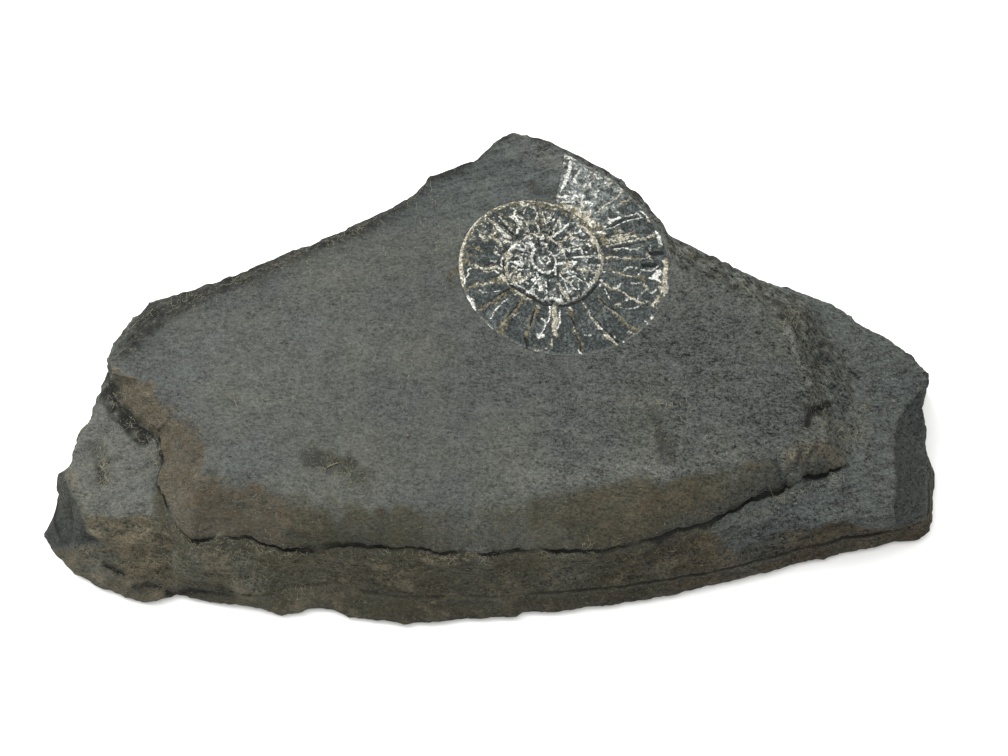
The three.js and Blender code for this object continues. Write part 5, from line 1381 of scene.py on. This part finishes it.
fibres = list(NAMED_FIBRES)
for count, stray, line in LINT_LINES:
    line = np.array(line, float)
    run = np.append(0, np.cumsum(np.hypot(*np.diff(line, axis=0).T)))
    for _ in range(count):
        along = lint_draws.uniform(0, run[-1])
        spot = np.array([np.interp(along, run, line[:, 0]), np.interp(along, run, line[:, 1])])
        spot += lint_draws.normal(0, stray / 2, 2)
        heading = lint_draws.uniform(0, FULL_TURN)
        length = SHORTEST_FIBRE + lint_draws.exponential(TYPICAL_EXTRA)
        fibre = []
        for _ in range(FIBRE_POINTS):
            height = on_slab(*spot)
            if height is None or height < LOWEST_LINT:
                break
            fibre.append((*spot, height + FIBRE_THICK * 0.6))
            heading += lint_draws.normal(0, 0.4)
            spot = spot + np.array([math.cos(heading), math.sin(heading)]) * length / FIBRE_POINTS
        if len(fibre) < FIBRE_POINTS:
            continue
        if max(abs(a[2] - b[2]) for a, b in zip(fibre, fibre[1:])) < STEEPEST_STEP:
            fibres.append((FIBRE_THICK * lint_draws.uniform(0.7, 1.3), fibre))

# Each fibre is a closed tube of four sides
SIDES = 4
lint_points = []
lint_faces = []
for thick, line in fibres:
    line = np.array(line, float)
    ahead = np.gradient(line, axis=0)
    ahead /= np.linalg.norm(ahead, axis=1, keepdims=True)
    sideways = np.cross(ahead, (0, 0, 1))
    upward = np.cross(sideways, ahead)
    first = len(lint_points)
    for place_on, side, up in zip(line, sideways, upward):
        for turn in np.arange(SIDES) / SIDES * FULL_TURN:
            lint_points.append(place_on + thick / 2 * (side * math.cos(turn) + up * math.sin(turn)))
    rings = first + np.arange(len(line) * SIDES).reshape(-1, SIDES)
    for near, far in zip(rings, rings[1:]):
        around = np.column_stack([near, np.roll(near, -1), np.roll(far, -1), far])
        lint_faces += around[:, ::-1].tolist()
    lint_faces.append(rings[0].tolist())
    lint_faces.append(rings[-1][::-1].tolist())
lint = coloured_mesh("lint", np.array(lint_points), lint_faces, {})

# Dry plant hair: dead stalks and dust, dulled and greyed by the stone's clay. The eye gets thin
# matt threads of pale khaki, darker in some patches than in others.
LINT_PATCH = 12
tree, hair, in_mm = surface("dry_plant_hair", lint, Roughness=0.7)
patches = add(tree, "TexNoise", in_mm, Scale=1 / LINT_PATCH)
paler = add(tree, "MapRange", patches, 0.4, 0.6)
shade = add(tree, "Mix", paler, colour("#646049"), colour("#88846e"), data_type="RGBA")
feed(tree, hair.inputs["Base Color"], shade)
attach(lint, "root")


# The table under the slab: a plain board painted matt white, which the flat underside rests on.
# The eye gets an even pale ground with soft shadows and no shine.
TABLE_HALF = 1500
table_mesh = bpy.data.meshes.new("table")
corners = [(-1, -1, 0), (1, -1, 0), (1, 1, 0), (-1, 1, 0)]
table_mesh.from_pydata((np.array(corners) * TABLE_HALF * MM).tolist(), [], [(0, 1, 2, 3)])
table = bpy.data.objects.new("table", table_mesh)
bpy.context.scene.collection.objects.link(table)
white_board = bpy.data.materials.new("matt_white_board")
white_board.use_nodes = True
board = white_board.node_tree.nodes["Principled BSDF"]
board.inputs["Base Color"].default_value = colour("#f7f7f5")
board.inputs["Roughness"].default_value = 0.9
table_mesh.materials.append(white_board)

# The light: a pale room all round, a soft lit ceiling, and a large window behind and above on
# the left.
ROOM_LIGHT = 0.75
CEILING_SIZE = 1800
CEILING_HEIGHT = 1400
CEILING_POWER = 16
WINDOW_SIZE = 700
WINDOW_PLACE = (-520, 330, 620)
WINDOW_POWER = 9.5
room = bpy.data.worlds.new("pale_room")
room.use_nodes = True
room.node_tree.nodes["Background"].inputs["Color"].default_value = (1, 1, 1, 1)
room.node_tree.nodes["Background"].inputs["Strength"].default_value = ROOM_LIGHT
bpy.context.scene.world = room
for name, size, place, power in (
    ("ceiling", CEILING_SIZE, (0, 0, CEILING_HEIGHT), CEILING_POWER),
    ("window", WINDOW_SIZE, WINDOW_PLACE, WINDOW_POWER),
):
    light = bpy.data.lights.new(name, "AREA")
    light.size = size * MM
    light.energy = power
    lamp = bpy.data.objects.new(name, light)
    lamp.location = Vector(place) * MM
    lamp.rotation_euler = (-lamp.location).to_track_quat("-Z", "Y").to_euler()
    bpy.context.scene.collection.objects.link(lamp)
bpy.context.scene.view_settings.view_transform = "Standard"
